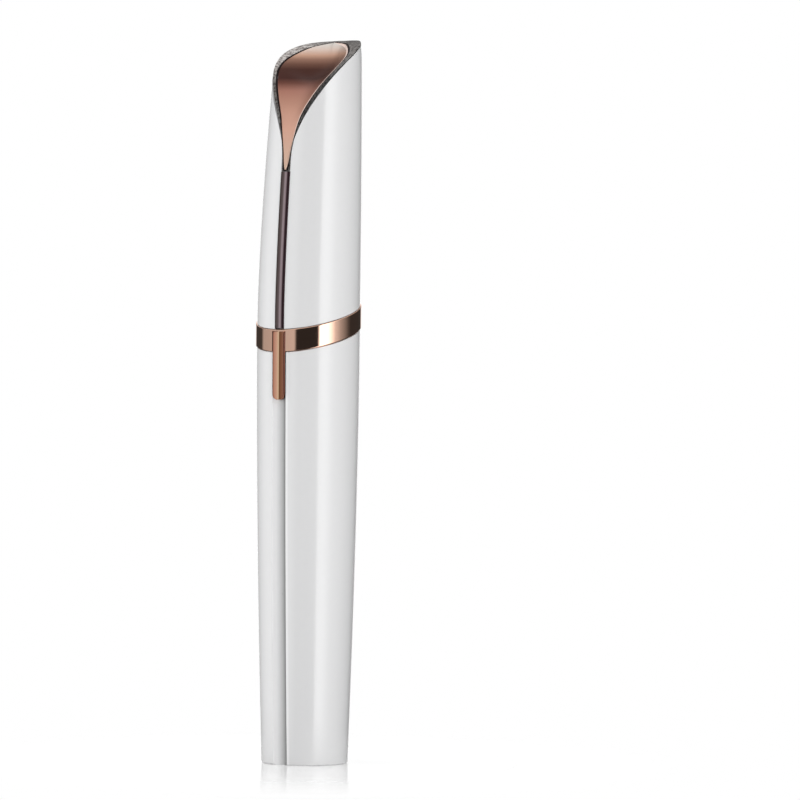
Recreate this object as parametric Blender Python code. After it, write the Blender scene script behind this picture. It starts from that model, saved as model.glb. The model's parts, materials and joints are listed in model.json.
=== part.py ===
"""An electric eyebrow trimmer, standing on its base with its cap on. Metres, +Z up, switch towards -Y."""

import math

import bmesh
import bpy
import numpy as np
from mathutils import Vector
from mathutils.geometry import interpolate_bezier

# Faces round a large, a small and a fine turned piece
LARGE_SIDES = 48
SMALL_SIDES = 28
FINE_SIDES = 16

# Clearances
TRIM_GAP = 0.0001
RIM_GAP = 0.0002
SEAT_GAP = 0.0003
CUT_OVERRUN = 0.003

# Handle
HANDLE_LENGTH = 0.0884
HANDLE_PROUD = 0.00004
HANDLE_TAPER_SHARE = 1.7
HANDLE_WALL = 0.0014
HANDLE_FLOOR = 0.0024
BASE_EDGE_RADIUS = 0.0004

# The cut between handle, ring and cap climbs towards the back
PARTING_SLOPE_SHARE = 0.318
RING_HEIGHT = 0.0047
RING_PROUD = 0.00023
RING_EDGE = 0.0004
COLLAR_PROUD = 0.00045
COLLAR_WALL = 0.0011
COLLAR_DEPTH = 0.0020
COLLAR_RISE = 0.0073

# Cap
CAP_HEIGHT = 0.0576
# How far the cap narrows and leans back towards its top, as shares of its mouth radius
CAP_NARROWING_SHARE = 0.1639
CAP_LEAN_SHARE = 0.2715
CAP_NARROWING_BEND_SHARE = 1.6
CAP_LEAN_BEND_SHARE = 1.35
CAP_WALL = 0.00065
LINER_HEIGHT = 0.0080
LINER_WALL = 0.00063

# Scoop in the cap's front
SCOOP_START_SHARE = 0.526
SCOOP_HEIGHT_SHARE = 0.474
SCOOP_FOOT = 0.0004
# Powers that shape how the scoop's edge climbs round the cap
SCOOP_CURVE_SHARE = 0.29
SCOOP_TURN_SHARE = 1.6
SCOOP_FLOOR_SHARE = 1.25
NECK_HALF_WIDTH = 0.00112
RIM_WIDTH = 0.0009
RIM_BACK_WIDTH = 0.0026
NECK_RIM_WIDTH = 0.00056
# Shares of the half turn round the cap in which the land widens: at the neck, then behind
NECK_END_SHARE = 0.08
BACK_START_SHARE = 0.3
BACK_LENGTH_SHARE = 0.4
# How much less than the scoop's floor the land falls behind
LAND_LEVEL_SHARE = 0.7
# The land never takes more than this share of the way to the scoop's middle
LAND_SHARE = 0.62
SIDEWAYS_SHARE = 3
RIM_THICKNESS = 0.0005
INLAY_THICKNESS = 0.0003
SCOOP_WALL = 0.0006
SCOOP_ROWS = 24
SCOOP_COLUMNS = 10
ROW_SPREAD_SHARE = 1.5
INLAY_RECESS = 0.00005
# Turn round the cap, depth as a share of its mouth radius, height as a share of the scoop's
SPINE_SHARES = (
    (0.0, -0.868, 0.0),
    (0.06, -0.76, 0.24),
    (0.17, -0.50, 0.48),
    (0.33, -0.11, 0.635),
    (0.5, 0.22, 0.70),
    (0.67, 0.48, 0.78),
    (0.84, 0.63, 0.87),
    (1.0, 0.70, 0.955),
)

# Stripe down the cap and groove down the handle
STRIPE_WIDTH = 0.0022
STRIPE_DEPTH = 0.0004
STRIPE_PROUD = 0.0003
STRIPE_END_GAP = 0.0005
GROOVE_WIDTH = 0.0027
GROOVE_DEPTH = 0.0005

# Share of its rise that a bar's section has reached half way to its middle
SHOULDER_SHARE = 0.62

# Slide switch
TAIL_WIDTH_SHARE = 0.7
SWITCH_WIDTH = 0.00265
SWITCH_LENGTH = 0.0140
SWITCH_TOP_DROP = 0.0004
SWITCH_CREASE_PROUD = 0.0004
SWITCH_EDGE_PROUD = 0.0007
SWITCH_DEPTH = 0.0004
SWITCH_TRAVEL = 0.002
SWITCH_TAIL = 0.0015
SWITCH_GAP = 0.0002
STEM_WIDTH = 0.0012
STEM_HEIGHT = 0.0030
STEM_DROP = 0.0085
SLIDER_WIDTH = 0.0030

# Circuit board, its carrier and the slide switch on it
BOARD_WIDTH = 0.0105
BOARD_THICKNESS = 0.0008
BOARD_DROP = 0.0043
BOARD_FRONT = -0.0034
CARRIER_WIDTH = 0.0080
CARRIER_THICKNESS = 0.0016
CARRIER_FLOOR = 0.0018
SWITCH_BODY_WIDTH = 0.0086
SWITCH_BODY_DEPTH = 0.0030
SWITCH_BODY_HEIGHT = 0.0076
SCREW_RADIUS = 0.00045
SCREW_HEAD_RADIUS = 0.0010
SCREW_HEAD_HEIGHT = 0.0005
SCREW_LENGTH = 0.0020
SCREW_HOLE_GAP = 0.00015
SCREW_RISE = 0.0027
SCREW_SPREAD = 0.0028

# Battery and its holder
BATTERY_RADIUS = 0.00525
BATTERY_LENGTH = 0.0436
BATTERY_BOTTOM = 0.0125
BATTERY_EDGE = 0.0003
BATTERY_CAP_RADIUS = 0.0043
BATTERY_CAP_HEIGHT = 0.0004
BATTERY_NUB_RADIUS = 0.0019
BATTERY_NUB_HEIGHT = 0.0010
TUBE_WALL = 0.0008
TUBE_BOTTOM = 0.0068
TUBE_FIN_WIDTH = 0.0010
TUBE_FINS = 3
TUBE_FIN_REACH = 0.00122
CONTACT_RADIUS = 0.0052
CONTACT_THICKNESS = 0.0004
STRIP_WIDTH = 0.0030
STRIP_THICKNESS = 0.0004

# Battery door in the base
DOOR_RADIUS = 0.0068
DOOR_FLANGE = 0.0020
DOOR_PLUG_RADIUS = 0.0060
DOOR_HEIGHT = 0.0052
NOTCH_WIDTH = 0.0012
NOTCH_START = 0.0020
NOTCH_LENGTH = 0.0028
NOTCH_DEPTH = 0.0008
DOOR_GAP = 0.0002
SEAL_WIRE = 0.00028
SPRING_WIRE = 0.0003
SPRING_RADIUS = 0.0030
SPRING_TOP_RADIUS = 0.0018
SPRING_TURNS = 4
SPRING_STEPS = 12

# Motor and its cradle
MOTOR_RISE = 0.0039
MOTOR_ROOM = 0.0009
MOTOR_BOSS_RADIUS = 0.0020
MOTOR_BOSS_HEIGHT = 0.0006
END_CAP_HEIGHT = 0.0014
TERMINAL_WIDTH = 0.0012
TERMINAL_THICKNESS = 0.0004
TERMINAL_LENGTH = 0.0018
TERMINAL_SPREAD = 0.0032
CRADLE_WALL = 0.0009
CRADLE_GAP = 0.00045
SHAFT_RADIUS = 0.0007
SHAFT_LENGTH = 0.0034
COUPLING_RADIUS = 0.0020
COUPLING_LENGTH = 0.0052
DRIVE_GAP = 0.00015

# Barrel and head
BARREL_TOP_RADIUS = 0.0083
BARREL_TAPER = 0.00045
BARREL_WALL = 0.0008
# The tip's height above the ring, as a share of the cap's height
HEAD_REACH_SHARE = 0.7587
HEAD_SEAM = 0.0003
SPIGOT_LENGTH = 0.0026
SPIGOT_WALL = 0.0007
COVER_HEIGHT = 0.0074
COVER_TOP_SHARE = 0.7892
COVER_BEND_SHARE = 0.6
COVER_WALL = 0.0008
WEB_RISE = 0.0050
WEB_THICKNESS = 0.0009
BUSH_RADIUS = 0.0026
BUSH_LENGTH = 0.0030
LENS_HEIGHT = 0.0047
LENS_TOP_SHARE = 0.5843
LENS_WALL = 0.0008
LIGHT_BOARD_SHARE = 0.6386
LIGHT_BOARD_THICKNESS = 0.0006
LED_WIDTH = 0.0016
LED_HEIGHT = 0.0008
# Radii of the tip's foot and top, as shares of the barrel's
TIP_FOOT_SHARE = 0.506
TIP_TOP_SHARE = 0.2892
TIP_HEIGHT = 0.0042
TIP_WALL = 0.0005
TIP_EDGE = 0.0005
TIP_SKIRT = 0.0030
TIP_SLOTS = 14
TIP_SLOT_WIDTH = 0.0003
TIP_SLOT_DEPTH = 0.0018
TIP_EYE_RADIUS = 0.0009
BLADE_RADIUS = 0.0015
BLADE_WIDTH = 0.0005
BLADE_HEIGHT = 0.0014
BLADE_COUNT = 3

# Wires
WIRE_RADIUS = 0.0004
WIRE_STEPS = 6
WIRE_HOLE_X = 0.0025
WIRE_HOLE_Y = 0.0030
MOTOR_WIRE_X = 0.0022

# Radii that follow from the barrel's and the battery's
BARREL_RADIUS = BARREL_TOP_RADIUS + BARREL_TAPER
COLLAR_RADIUS = BARREL_RADIUS + COLLAR_PROUD
CAP_MOUTH_RADIUS = COLLAR_RADIUS + TRIM_GAP + LINER_WALL + TRIM_GAP + CAP_WALL
HANDLE_TOP_RADIUS = CAP_MOUTH_RADIUS + HANDLE_PROUD
RING_RADIUS = HANDLE_TOP_RADIUS + RING_PROUD
TUBE_INNER_RADIUS = BATTERY_RADIUS + SEAT_GAP
TUBE_OUTER_RADIUS = TUBE_INNER_RADIUS + TUBE_WALL
HANDLE_FOOT_RADIUS = TUBE_OUTER_RADIUS + TUBE_FIN_REACH + HANDLE_WALL
CRADLE_OUTER_RADIUS = BARREL_TOP_RADIUS - BARREL_WALL - CRADLE_GAP
CRADLE_INNER_RADIUS = CRADLE_OUTER_RADIUS - CRADLE_WALL
MOTOR_RADIUS = CRADLE_INNER_RADIUS - SEAT_GAP / 2
END_CAP_RADIUS = MOTOR_RADIUS - SEAT_GAP
COVER_TOP_RADIUS = BARREL_TOP_RADIUS * COVER_TOP_SHARE
LENS_RADIUS = COVER_TOP_RADIUS - TRIM_GAP / 2
LENS_TOP_RADIUS = BARREL_TOP_RADIUS * LENS_TOP_SHARE
LIGHT_BOARD_RADIUS = BARREL_TOP_RADIUS * LIGHT_BOARD_SHARE
TIP_RADIUS = BARREL_TOP_RADIUS * TIP_FOOT_SHARE
TIP_TOP_RADIUS = BARREL_TOP_RADIUS * TIP_TOP_SHARE

# Places that follow from the sizes above
RING_BOTTOM = HANDLE_LENGTH
RING_TOP = RING_BOTTOM + RING_HEIGHT
CAP_BOTTOM = RING_TOP + TRIM_GAP
COLLAR_TOP = RING_TOP + COLLAR_RISE
COLLAR_BOTTOM = RING_BOTTOM - COLLAR_DEPTH
SCOOP_BOTTOM = RING_TOP + SCOOP_START_SHARE * CAP_HEIGHT
SCOOP_HEIGHT = SCOOP_HEIGHT_SHARE * CAP_HEIGHT
CAP_TOP = CAP_BOTTOM + CAP_HEIGHT
TIP_TOP = RING_TOP + HEAD_REACH_SHARE * CAP_HEIGHT
TIP_BOTTOM = TIP_TOP - TIP_HEIGHT
LENS_TOP = TIP_BOTTOM - TRIM_GAP
LENS_BOTTOM = LENS_TOP - LENS_HEIGHT
COVER_TOP = LENS_BOTTOM - TRIM_GAP
COVER_BOTTOM = COVER_TOP - COVER_HEIGHT
BARREL_TOP = COVER_BOTTOM - HEAD_SEAM
BARREL_BOTTOM = COLLAR_TOP + TRIM_GAP
WEB_BOTTOM = COVER_BOTTOM + WEB_RISE
WEB_TOP = WEB_BOTTOM + WEB_THICKNESS
BATTERY_TOP = BATTERY_BOTTOM + BATTERY_LENGTH
CONTACT_BOTTOM = BATTERY_TOP + TRIM_GAP + BATTERY_CAP_HEIGHT + BATTERY_NUB_HEIGHT + SEAT_GAP
CONTACT_TOP = CONTACT_BOTTOM + CONTACT_THICKNESS
TUBE_TOP = CONTACT_TOP + SEAT_GAP
CARRIER_BOTTOM = TUBE_TOP + SEAT_GAP
CARRIER_FLOOR_TOP = CARRIER_BOTTOM + CARRIER_FLOOR
BOARD_BOTTOM = CARRIER_FLOOR_TOP + SEAT_GAP
BOARD_BACK = BOARD_FRONT + BOARD_THICKNESS
CARRIER_FRONT = BOARD_BACK + TRIM_GAP
CARRIER_BACK = CARRIER_FRONT + CARRIER_THICKNESS
MOTOR_BOTTOM = RING_TOP + MOTOR_RISE
MOTOR_TOP = BARREL_TOP - SPIGOT_LENGTH - MOTOR_ROOM
END_CAP_BOTTOM = MOTOR_BOTTOM - TRIM_GAP - END_CAP_HEIGHT
TERMINAL_BOTTOM = END_CAP_BOTTOM - TRIM_GAP - TERMINAL_LENGTH
CARRIER_TOP = TERMINAL_BOTTOM - SEAT_GAP
BOARD_TOP = CARRIER_TOP - BOARD_DROP
SWITCH_FRONT = -HANDLE_TOP_RADIUS
SWITCH_TOP = RING_TOP + PARTING_SLOPE_SHARE * SWITCH_FRONT - SWITCH_TOP_DROP
STEM_MIDDLE = SWITCH_TOP - STEM_DROP
SWITCH_BODY_BOTTOM = STEM_MIDDLE - (SWITCH_TRAVEL + SWITCH_BODY_HEIGHT) / 2
SWITCH_BODY_TOP = SWITCH_BODY_BOTTOM + SWITCH_BODY_HEIGHT
SWITCH_BODY_FRONT = BOARD_FRONT - TRIM_GAP - SWITCH_BODY_DEPTH
DOOR_OPENING_RADIUS = DOOR_RADIUS + DOOR_GAP
SHAFT_BOTTOM = MOTOR_TOP + MOTOR_BOSS_HEIGHT + TRIM_GAP
SHAFT_TOP = SHAFT_BOTTOM + SHAFT_LENGTH
COUPLING_BOTTOM = SHAFT_BOTTOM + SEAT_GAP
COUPLING_TOP = COUPLING_BOTTOM + COUPLING_LENGTH
SPINDLE_BOTTOM = SHAFT_TOP + SEAT_GAP
BLADE_TOP = TIP_TOP - TIP_WALL - SEAT_GAP
BLADE_BOTTOM = BLADE_TOP - BLADE_HEIGHT
SPINDLE_TOP = BLADE_BOTTOM - TRIM_GAP

FINISHES = {
    "white_gloss": ((0.86, 0.86, 0.86), 0.16, 0.0),
    "rose_gold": ((0.80, 0.52, 0.40), 0.14, 1.0),
    "gun_metal": ((0.13, 0.10, 0.11), 0.2, 0.9),
    "grainy_taupe": ((0.33, 0.29, 0.28), 0.5, 0.3),
    "frosted_lens": ((0.90, 0.90, 0.92), 0.4, 0.0),
    "blush_metal": ((0.74, 0.50, 0.52), 0.2, 1.0),
    "grey_plastic": ((0.42, 0.43, 0.45), 0.5, 0.0),
    "black_plastic": ((0.03, 0.03, 0.03), 0.5, 0.0),
    "board_green": ((0.03, 0.20, 0.09), 0.4, 0.0),
    "bright_steel": ((0.62, 0.63, 0.65), 0.25, 1.0),
    "brass": ((0.72, 0.53, 0.24), 0.3, 1.0),
    "battery_wrap": ((0.10, 0.11, 0.14), 0.35, 0.0),
    "red_wire": ((0.55, 0.03, 0.02), 0.5, 0.0),
    "black_wire": ((0.02, 0.02, 0.02), 0.5, 0.0),
    "seal_rubber": ((0.05, 0.05, 0.05), 0.7, 0.0),
}


def clear_scene():
    for thing in list(bpy.data.objects):
        bpy.data.objects.remove(thing, do_unlink=True)


def material(name):
    found = bpy.data.materials.get(name)
    if found:
        return found
    colour, roughness, metallic = FINISHES[name]
    made = bpy.data.materials.new(name)
    made.use_nodes = True
    made.diffuse_color = (*colour, 1.0)
    shader = made.node_tree.nodes["Principled BSDF"]
    shader.inputs["Base Color"].default_value = (*colour, 1.0)
    shader.inputs["Roughness"].default_value = roughness
    shader.inputs["Metallic"].default_value = metallic
    return made


def place(name, mesh, finish=None, pivot=(0, 0, 0)):
    """An object of this mesh, with its origin at the pivot. Without a finish it is a hidden helper."""
    for vertex in mesh.vertices:
        vertex.co -= Vector(pivot)
    made = bpy.data.objects.new(name, mesh)
    made.location = pivot
    bpy.context.scene.collection.objects.link(made)
    if finish:
        mesh.materials.append(material(finish))
    else:
        made.hide_render = True
        made.display_type = "WIRE"
    mesh.shade_smooth()
    mesh.set_sharp_from_angle(angle=math.radians(35))
    return made


def mesh_of(name, points, faces):
    built = bmesh.new()
    corners = [built.verts.new(point) for point in points]
    for face in faces:
        built.faces.new([corners[index] for index in face])
    bmesh.ops.recalc_face_normals(built, faces=built.faces)
    mesh = bpy.data.meshes.new(name)
    built.to_mesh(mesh)
    built.free()
    return mesh


def loft(name, rings, finish=None, tube=False):
    """Rings of equally many points, joined in turn. A tube joins its last ring to its first."""
    count = len(rings[0])
    points = [point for ring in rings for point in ring]
    pairs = [(row, row + 1) for row in range(len(rings) - 1)]
    if tube:
        pairs.append((len(rings) - 1, 0))
    faces = [
        (low * count + i, low * count + (i + 1) % count, high * count + (i + 1) % count, high * count + i)
        for low, high in pairs
        for i in range(count)
    ]
    if not tube:
        faces.append(tuple(reversed(range(count))))
        faces.append(tuple(range(len(points) - count, len(points))))
    return place(name, mesh_of(name, points, faces), finish)


def round_ring(radius_of, height, slope=0.0, shift_of=None, sides=LARGE_SIDES):
    """A ring on the plane that climbs towards the back from this height on the axis."""
    ring = []
    for step in range(sides):
        angle = 2 * math.pi * step / sides
        z = height
        for _ in range(6):
            shift = shift_of(z) if shift_of else 0.0
            y = shift + radius_of(z) * math.sin(angle)
            z = height + slope * y
        ring.append((radius_of(z) * math.cos(angle), y, z))
    return ring


def turned(name, outline, finish=None, sides=SMALL_SIDES, slopes=None):
    """Turns a closed outline of (radius, height) about the axis. Points with radius zero are poles."""
    slopes = slopes or [0.0] * len(outline)
    points = []
    rows = []
    for (radius, height), slope in zip(outline, slopes):
        if radius == 0:
            rows.append([len(points)] * sides)
            points.append((0, 0, height))
            continue
        rows.append([len(points) + step for step in range(sides)])
        points += round_ring(lambda z, r=radius: r, height, slope, sides=sides)
    solid = outline[0][0] == 0 and outline[-1][0] == 0
    faces = []
    for row in range(len(rows) - (1 if solid else 0)):
        lower = rows[row]
        upper = rows[(row + 1) % len(rows)]
        for step in range(sides):
            after = (step + 1) % sides
            face = dict.fromkeys((lower[step], lower[after], upper[after], upper[step]))
            faces.append(tuple(face))
    return place(name, mesh_of(name, points, faces), finish)


def block(name, low, high, finish=None, turn=0.0):
    """A box between two corners, turned about the axis."""
    (x0, y0, z0), (x1, y1, z1) = low, high
    flat = [(x0, y0), (x1, y0), (x1, y1), (x0, y1)]
    c, s = math.cos(turn), math.sin(turn)
    rings = [[(x * c - y * s, x * s + y * c, z) for x, y in flat] for z in (z0, z1)]
    return loft(name, rings, finish)


def boolean(piece, other, operation):
    modifier = piece.modifiers.new(f"{operation.lower()} {other.name}", "BOOLEAN")
    modifier.object = other
    modifier.operation = operation
    modifier.solver = "EXACT"


def cut(piece, *cutters):
    for cutter in cutters:
        boolean(piece, cutter, "DIFFERENCE")


def join(piece, *others):
    for other in others:
        boolean(piece, other, "UNION")


def ease(shares, turn):
    """A smooth curve through rows of shares, read at this turn."""
    table = np.array(shares)
    slopes = np.gradient(table[:, 1:], table[:, 0], axis=0)
    row = min(int(np.searchsorted(table[:, 0], turn, side="right")) - 1, len(table) - 2)
    width = table[row + 1, 0] - table[row, 0]
    t = (turn - table[row, 0]) / width
    start = (2 * t**3 - 3 * t**2 + 1) * table[row, 1:] + (t**3 - 2 * t**2 + t) * width * slopes[row]
    end = (3 * t**2 - 2 * t**3) * table[row + 1, 1:] + (t**3 - t**2) * width * slopes[row + 1]
    return start + end


def handle_radius(z):
    share = min(max(1 - z / HANDLE_LENGTH, 0.0), 1.0)
    return HANDLE_TOP_RADIUS - (HANDLE_TOP_RADIUS - HANDLE_FOOT_RADIUS) * share**HANDLE_TAPER_SHARE


def cap_radius(z):
    share = max((z - CAP_BOTTOM) / CAP_HEIGHT, 0.0)
    return CAP_MOUTH_RADIUS * (1 - CAP_NARROWING_SHARE * share**CAP_NARROWING_BEND_SHARE)


def cap_shift(z):
    share = max((z - CAP_BOTTOM) / CAP_HEIGHT, 0.0)
    return CAP_MOUTH_RADIUS * CAP_LEAN_SHARE * share**CAP_LEAN_BEND_SHARE


def rim_point(turn):
    """A point of the scoop's edge on the cap's right side, at a turn from 0, at the neck, to 1, behind."""
    neck = math.asin(NECK_HALF_WIDTH / cap_radius(SCOOP_BOTTOM))
    angle = neck + (math.pi - neck) * turn
    fall = ((1 + math.cos(angle)) / (1 + math.cos(neck))) ** SCOOP_TURN_SHARE
    z = SCOOP_BOTTOM + SCOOP_HEIGHT * (1 - fall) ** SCOOP_CURVE_SHARE
    radius = cap_radius(z)
    return Vector((radius * math.sin(angle), cap_shift(z) - radius * math.cos(angle), z))


def spine_point(turn):
    depth, height = ease(SPINE_SHARES, turn)
    return Vector((0, depth * CAP_MOUTH_RADIUS, SCOOP_BOTTOM + height * SCOOP_HEIGHT))


def inlay_point(turn):
    """The edge of the inlay, inside the rim's land, which is narrow at the neck and wide behind."""
    back = min(max((turn - BACK_START_SHARE) / BACK_LENGTH_SHARE, 0.0), 1.0)
    back *= back * (3 - 2 * back)
    front = min(turn / NECK_END_SHARE, 1.0)
    width = NECK_RIM_WIDTH + (RIM_WIDTH - NECK_RIM_WIDTH) * front
    width += (RIM_BACK_WIDTH - width) * back
    edge = rim_point(turn)
    inward = spine_point(turn) - edge
    width = min(width, inward.length * LAND_SHARE)
    inward.z *= 1 - LAND_LEVEL_SHARE * back
    return edge + inward.normalized() * width


def scoop_row(turn):
    """A row of the scoop's floor from left to right: rim, inlay's edge, floor, inlay's edge, rim."""
    edge = inlay_point(turn)
    spine = spine_point(turn)
    row = []
    for column in range(SCOOP_COLUMNS + 1):
        t = 2 * column / SCOOP_COLUMNS - 1
        fall = (1 - t * t) ** SCOOP_FLOOR_SHARE
        middle = edge.lerp(spine, fall)
        row.append(Vector((edge.x * t, middle.y, middle.z)))
    outer = rim_point(turn)
    return [Vector((-outer.x, outer.y, outer.z)), *row, outer]


def scoop_grid(drop):
    """Rows of the scoop's surface, moved into the cap by the drop along its normals."""
    turns = [(row / SCOOP_ROWS) ** ROW_SPREAD_SHARE for row in range(SCOOP_ROWS)]
    rows = np.array([[list(point) for point in scoop_row(turn)] for turn in turns])
    foot = rows[:1] * np.array([1, 1, 0]) + np.array([0, 0, SCOOP_BOTTOM - SCOOP_FOOT])
    rows = np.concatenate([foot, rows])
    along = np.gradient(rows, axis=0)
    across = np.gradient(rows, axis=1)
    normals = np.cross(across, along)
    normals /= np.linalg.norm(normals, axis=2, keepdims=True)
    if drop > 0:
        # Near the middle the walls are too close together to move far sideways
        normals[..., 0] *= np.clip(np.abs(rows[..., 0]) / (SIDEWAYS_SHARE * drop), 0, 1)
    return rows - drop * normals


def scoop_cutter(name, drop):
    """All that lies above the scoop's surface, lowered by the drop."""
    grid = scoop_grid(drop)
    back = rim_point(1.0)
    back.z -= drop
    left = [tuple(row[0]) for row in grid]
    right = [tuple(row[-1]) for row in grid]
    front = [tuple(point) for point in grid[0][1:-1]]
    edge = [*left, tuple(back), *reversed(right), *reversed(front)]
    reach = CAP_MOUTH_RADIUS + CUT_OVERRUN
    outer = []
    for x, y, z in edge:
        scale = reach / math.hypot(x, y)
        outer.append((x * scale, y * scale, z))
    lid = [(x, y, CAP_TOP + 2 * CUT_OVERRUN) for x, y, _ in outer]
    width = len(grid[0])
    points = [tuple(point) for row in grid for point in row] + [tuple(back)]
    apex = len(points) - 1
    faces = []
    for row in range(len(grid) - 1):
        for column in range(width - 1):
            low = row * width + column
            faces.append((low, low + 1, low + width + 1, low + width))
    last = (len(grid) - 1) * width
    for column in range(width - 1):
        faces.append((last + column, last + column + 1, apex))
    edge_index = [row * width for row in range(len(grid))] + [apex]
    edge_index += [row * width + width - 1 for row in reversed(range(len(grid)))]
    edge_index += list(reversed(range(1, width - 1)))
    first_outer = len(points)
    points += outer
    first_lid = len(points)
    points += lid
    count = len(edge)
    for i in range(count):
        j = (i + 1) % count
        faces.append((edge_index[i], edge_index[j], first_outer + j, first_outer + i))
        faces.append((first_outer + i, first_outer + j, first_lid + j, first_lid + i))
    faces.append(tuple(first_lid + i for i in range(count)))
    return place(name, mesh_of(name, points, faces))


def cap_rings(inset, bottom, top, rows=9):
    """Rings up the cap, tilted at its mouth and level above."""
    rings = []
    for row in range(rows + 1):
        share = row / rows
        height = bottom + (top - bottom) * share
        slope = PARTING_SLOPE_SHARE * max(1 - 2 * share, 0.0)
        rings.append(round_ring(lambda z: cap_radius(z) - inset, height, slope, cap_shift))
    return rings


def cap_front(z):
    return cap_shift(z) - cap_radius(z)


def handle_front(z):
    return -handle_radius(z)


def strip(name, front_of, low, high, section_of, finish=None, rows=10):
    """A bar up the front. Its section is half width, depth, and how proud its edge and its middle stand."""
    rings = []
    for row in range(rows + 1):
        z = low + (high - low) * row / rows
        half, depth, edge, middle = section_of(z)
        front = front_of(z)
        shoulder = edge + (middle - edge) * SHOULDER_SHARE
        ring = [(-half, front + depth), (half, front + depth), (half, front - edge)]
        ring += [(half / 2, front - shoulder), (0, front - middle)]
        ring += [(-half / 2, front - shoulder), (-half, front - edge)]
        rings.append([(x, y, z) for x, y in ring])
    return loft(name, rings, finish)


def cap_pieces():
    mouth = CAP_BOTTOM
    shell = loft("cap_shell", cap_rings(0, mouth, CAP_TOP + CUT_OVERRUN), "white_gloss")
    cavity = loft("cap_cavity_cutter", cap_rings(CAP_WALL, mouth - CUT_OVERRUN, CAP_TOP + CUT_OVERRUN))
    cut(cavity, scoop_cutter("cavity_roof_cutter", RIM_THICKNESS + SCOOP_WALL))
    low = mouth + PARTING_SLOPE_SHARE * cap_front(mouth) + STRIPE_END_GAP
    high = SCOOP_BOTTOM - SCOOP_FOOT - STRIPE_END_GAP
    half = STRIPE_WIDTH / 2
    groove = strip(
        "stripe_groove_cutter",
        cap_front,
        low - CUT_OVERRUN,
        high + STRIPE_END_GAP / 2,
        lambda z: (half + TRIM_GAP, STRIPE_DEPTH + TRIM_GAP, CUT_OVERRUN, CUT_OVERRUN),
    )
    cut(shell, scoop_cutter("scoop_cutter", RIM_THICKNESS), cavity, groove)
    stripe = strip(
        "cap_stripe",
        cap_front,
        low,
        high,
        lambda z: (half, STRIPE_DEPTH, 0.0, STRIPE_PROUD),
        "gun_metal",
    )
    liner_top = mouth + LINER_HEIGHT
    liner_inset = CAP_WALL + TRIM_GAP
    outer = [
        round_ring(lambda z: cap_radius(z) - liner_inset, mouth + SEAT_GAP, PARTING_SLOPE_SHARE, cap_shift),
        round_ring(lambda z: cap_radius(z) - liner_inset, liner_top, 0.0, cap_shift),
    ]
    inner = [
        round_ring(lambda z: COLLAR_RADIUS + TRIM_GAP, liner_top),
        round_ring(lambda z: COLLAR_RADIUS + TRIM_GAP, mouth + SEAT_GAP, PARTING_SLOPE_SHARE),
    ]
    liner = loft("cap_liner", outer + inner, "grey_plastic", tube=True)
    return [shell, stripe, liner, scoop_rim(), scoop_inlay()]


def scoop_rim():
    top = scoop_grid(0.0)
    low = scoop_grid(RIM_THICKNESS - RIM_GAP)
    inset = np.array([TRIM_GAP, 0, 0])
    middle = SCOOP_COLUMNS // 2 + 1
    foot = [top[0][middle], top[1][middle], low[1][middle], low[0][middle]]
    sections = [[top[0][-1] - inset, top[1][-3], low[1][-3], low[0][-1] - inset]]
    for upper, lower in zip(top[1:], low[1:]):
        sections.append([upper[-1] - inset, upper[-2], lower[-2], lower[-1] - inset])
    crest = rim_point(1.0)
    land = inlay_point(1.0)
    drop = Vector((0, 0, RIM_THICKNESS - RIM_GAP))
    back = [np.array(point) for point in (crest, land, land - drop, crest - drop)]
    mirror = np.array([-1, 1, 1])
    left = [[point * mirror for point in section] for section in reversed(sections)]
    rings = [foot, *sections, back, *left]
    return loft("scoop_rim", [[tuple(point) for point in ring] for ring in rings], "grainy_taupe", tube=True)


def scoop_inlay():
    top = scoop_grid(INLAY_RECESS)[1:, 1:-1]
    low = scoop_grid(INLAY_THICKNESS)[1:, 1:-1]
    rings = []
    for upper, lower in zip(top, low):
        squeeze = np.array([1 - TRIM_GAP / upper[-1][0], 1, 1])
        rings.append([tuple(point * squeeze) for point in [*upper, *reversed(lower)]])
    return loft("scoop_inlay", rings, "rose_gold")


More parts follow.
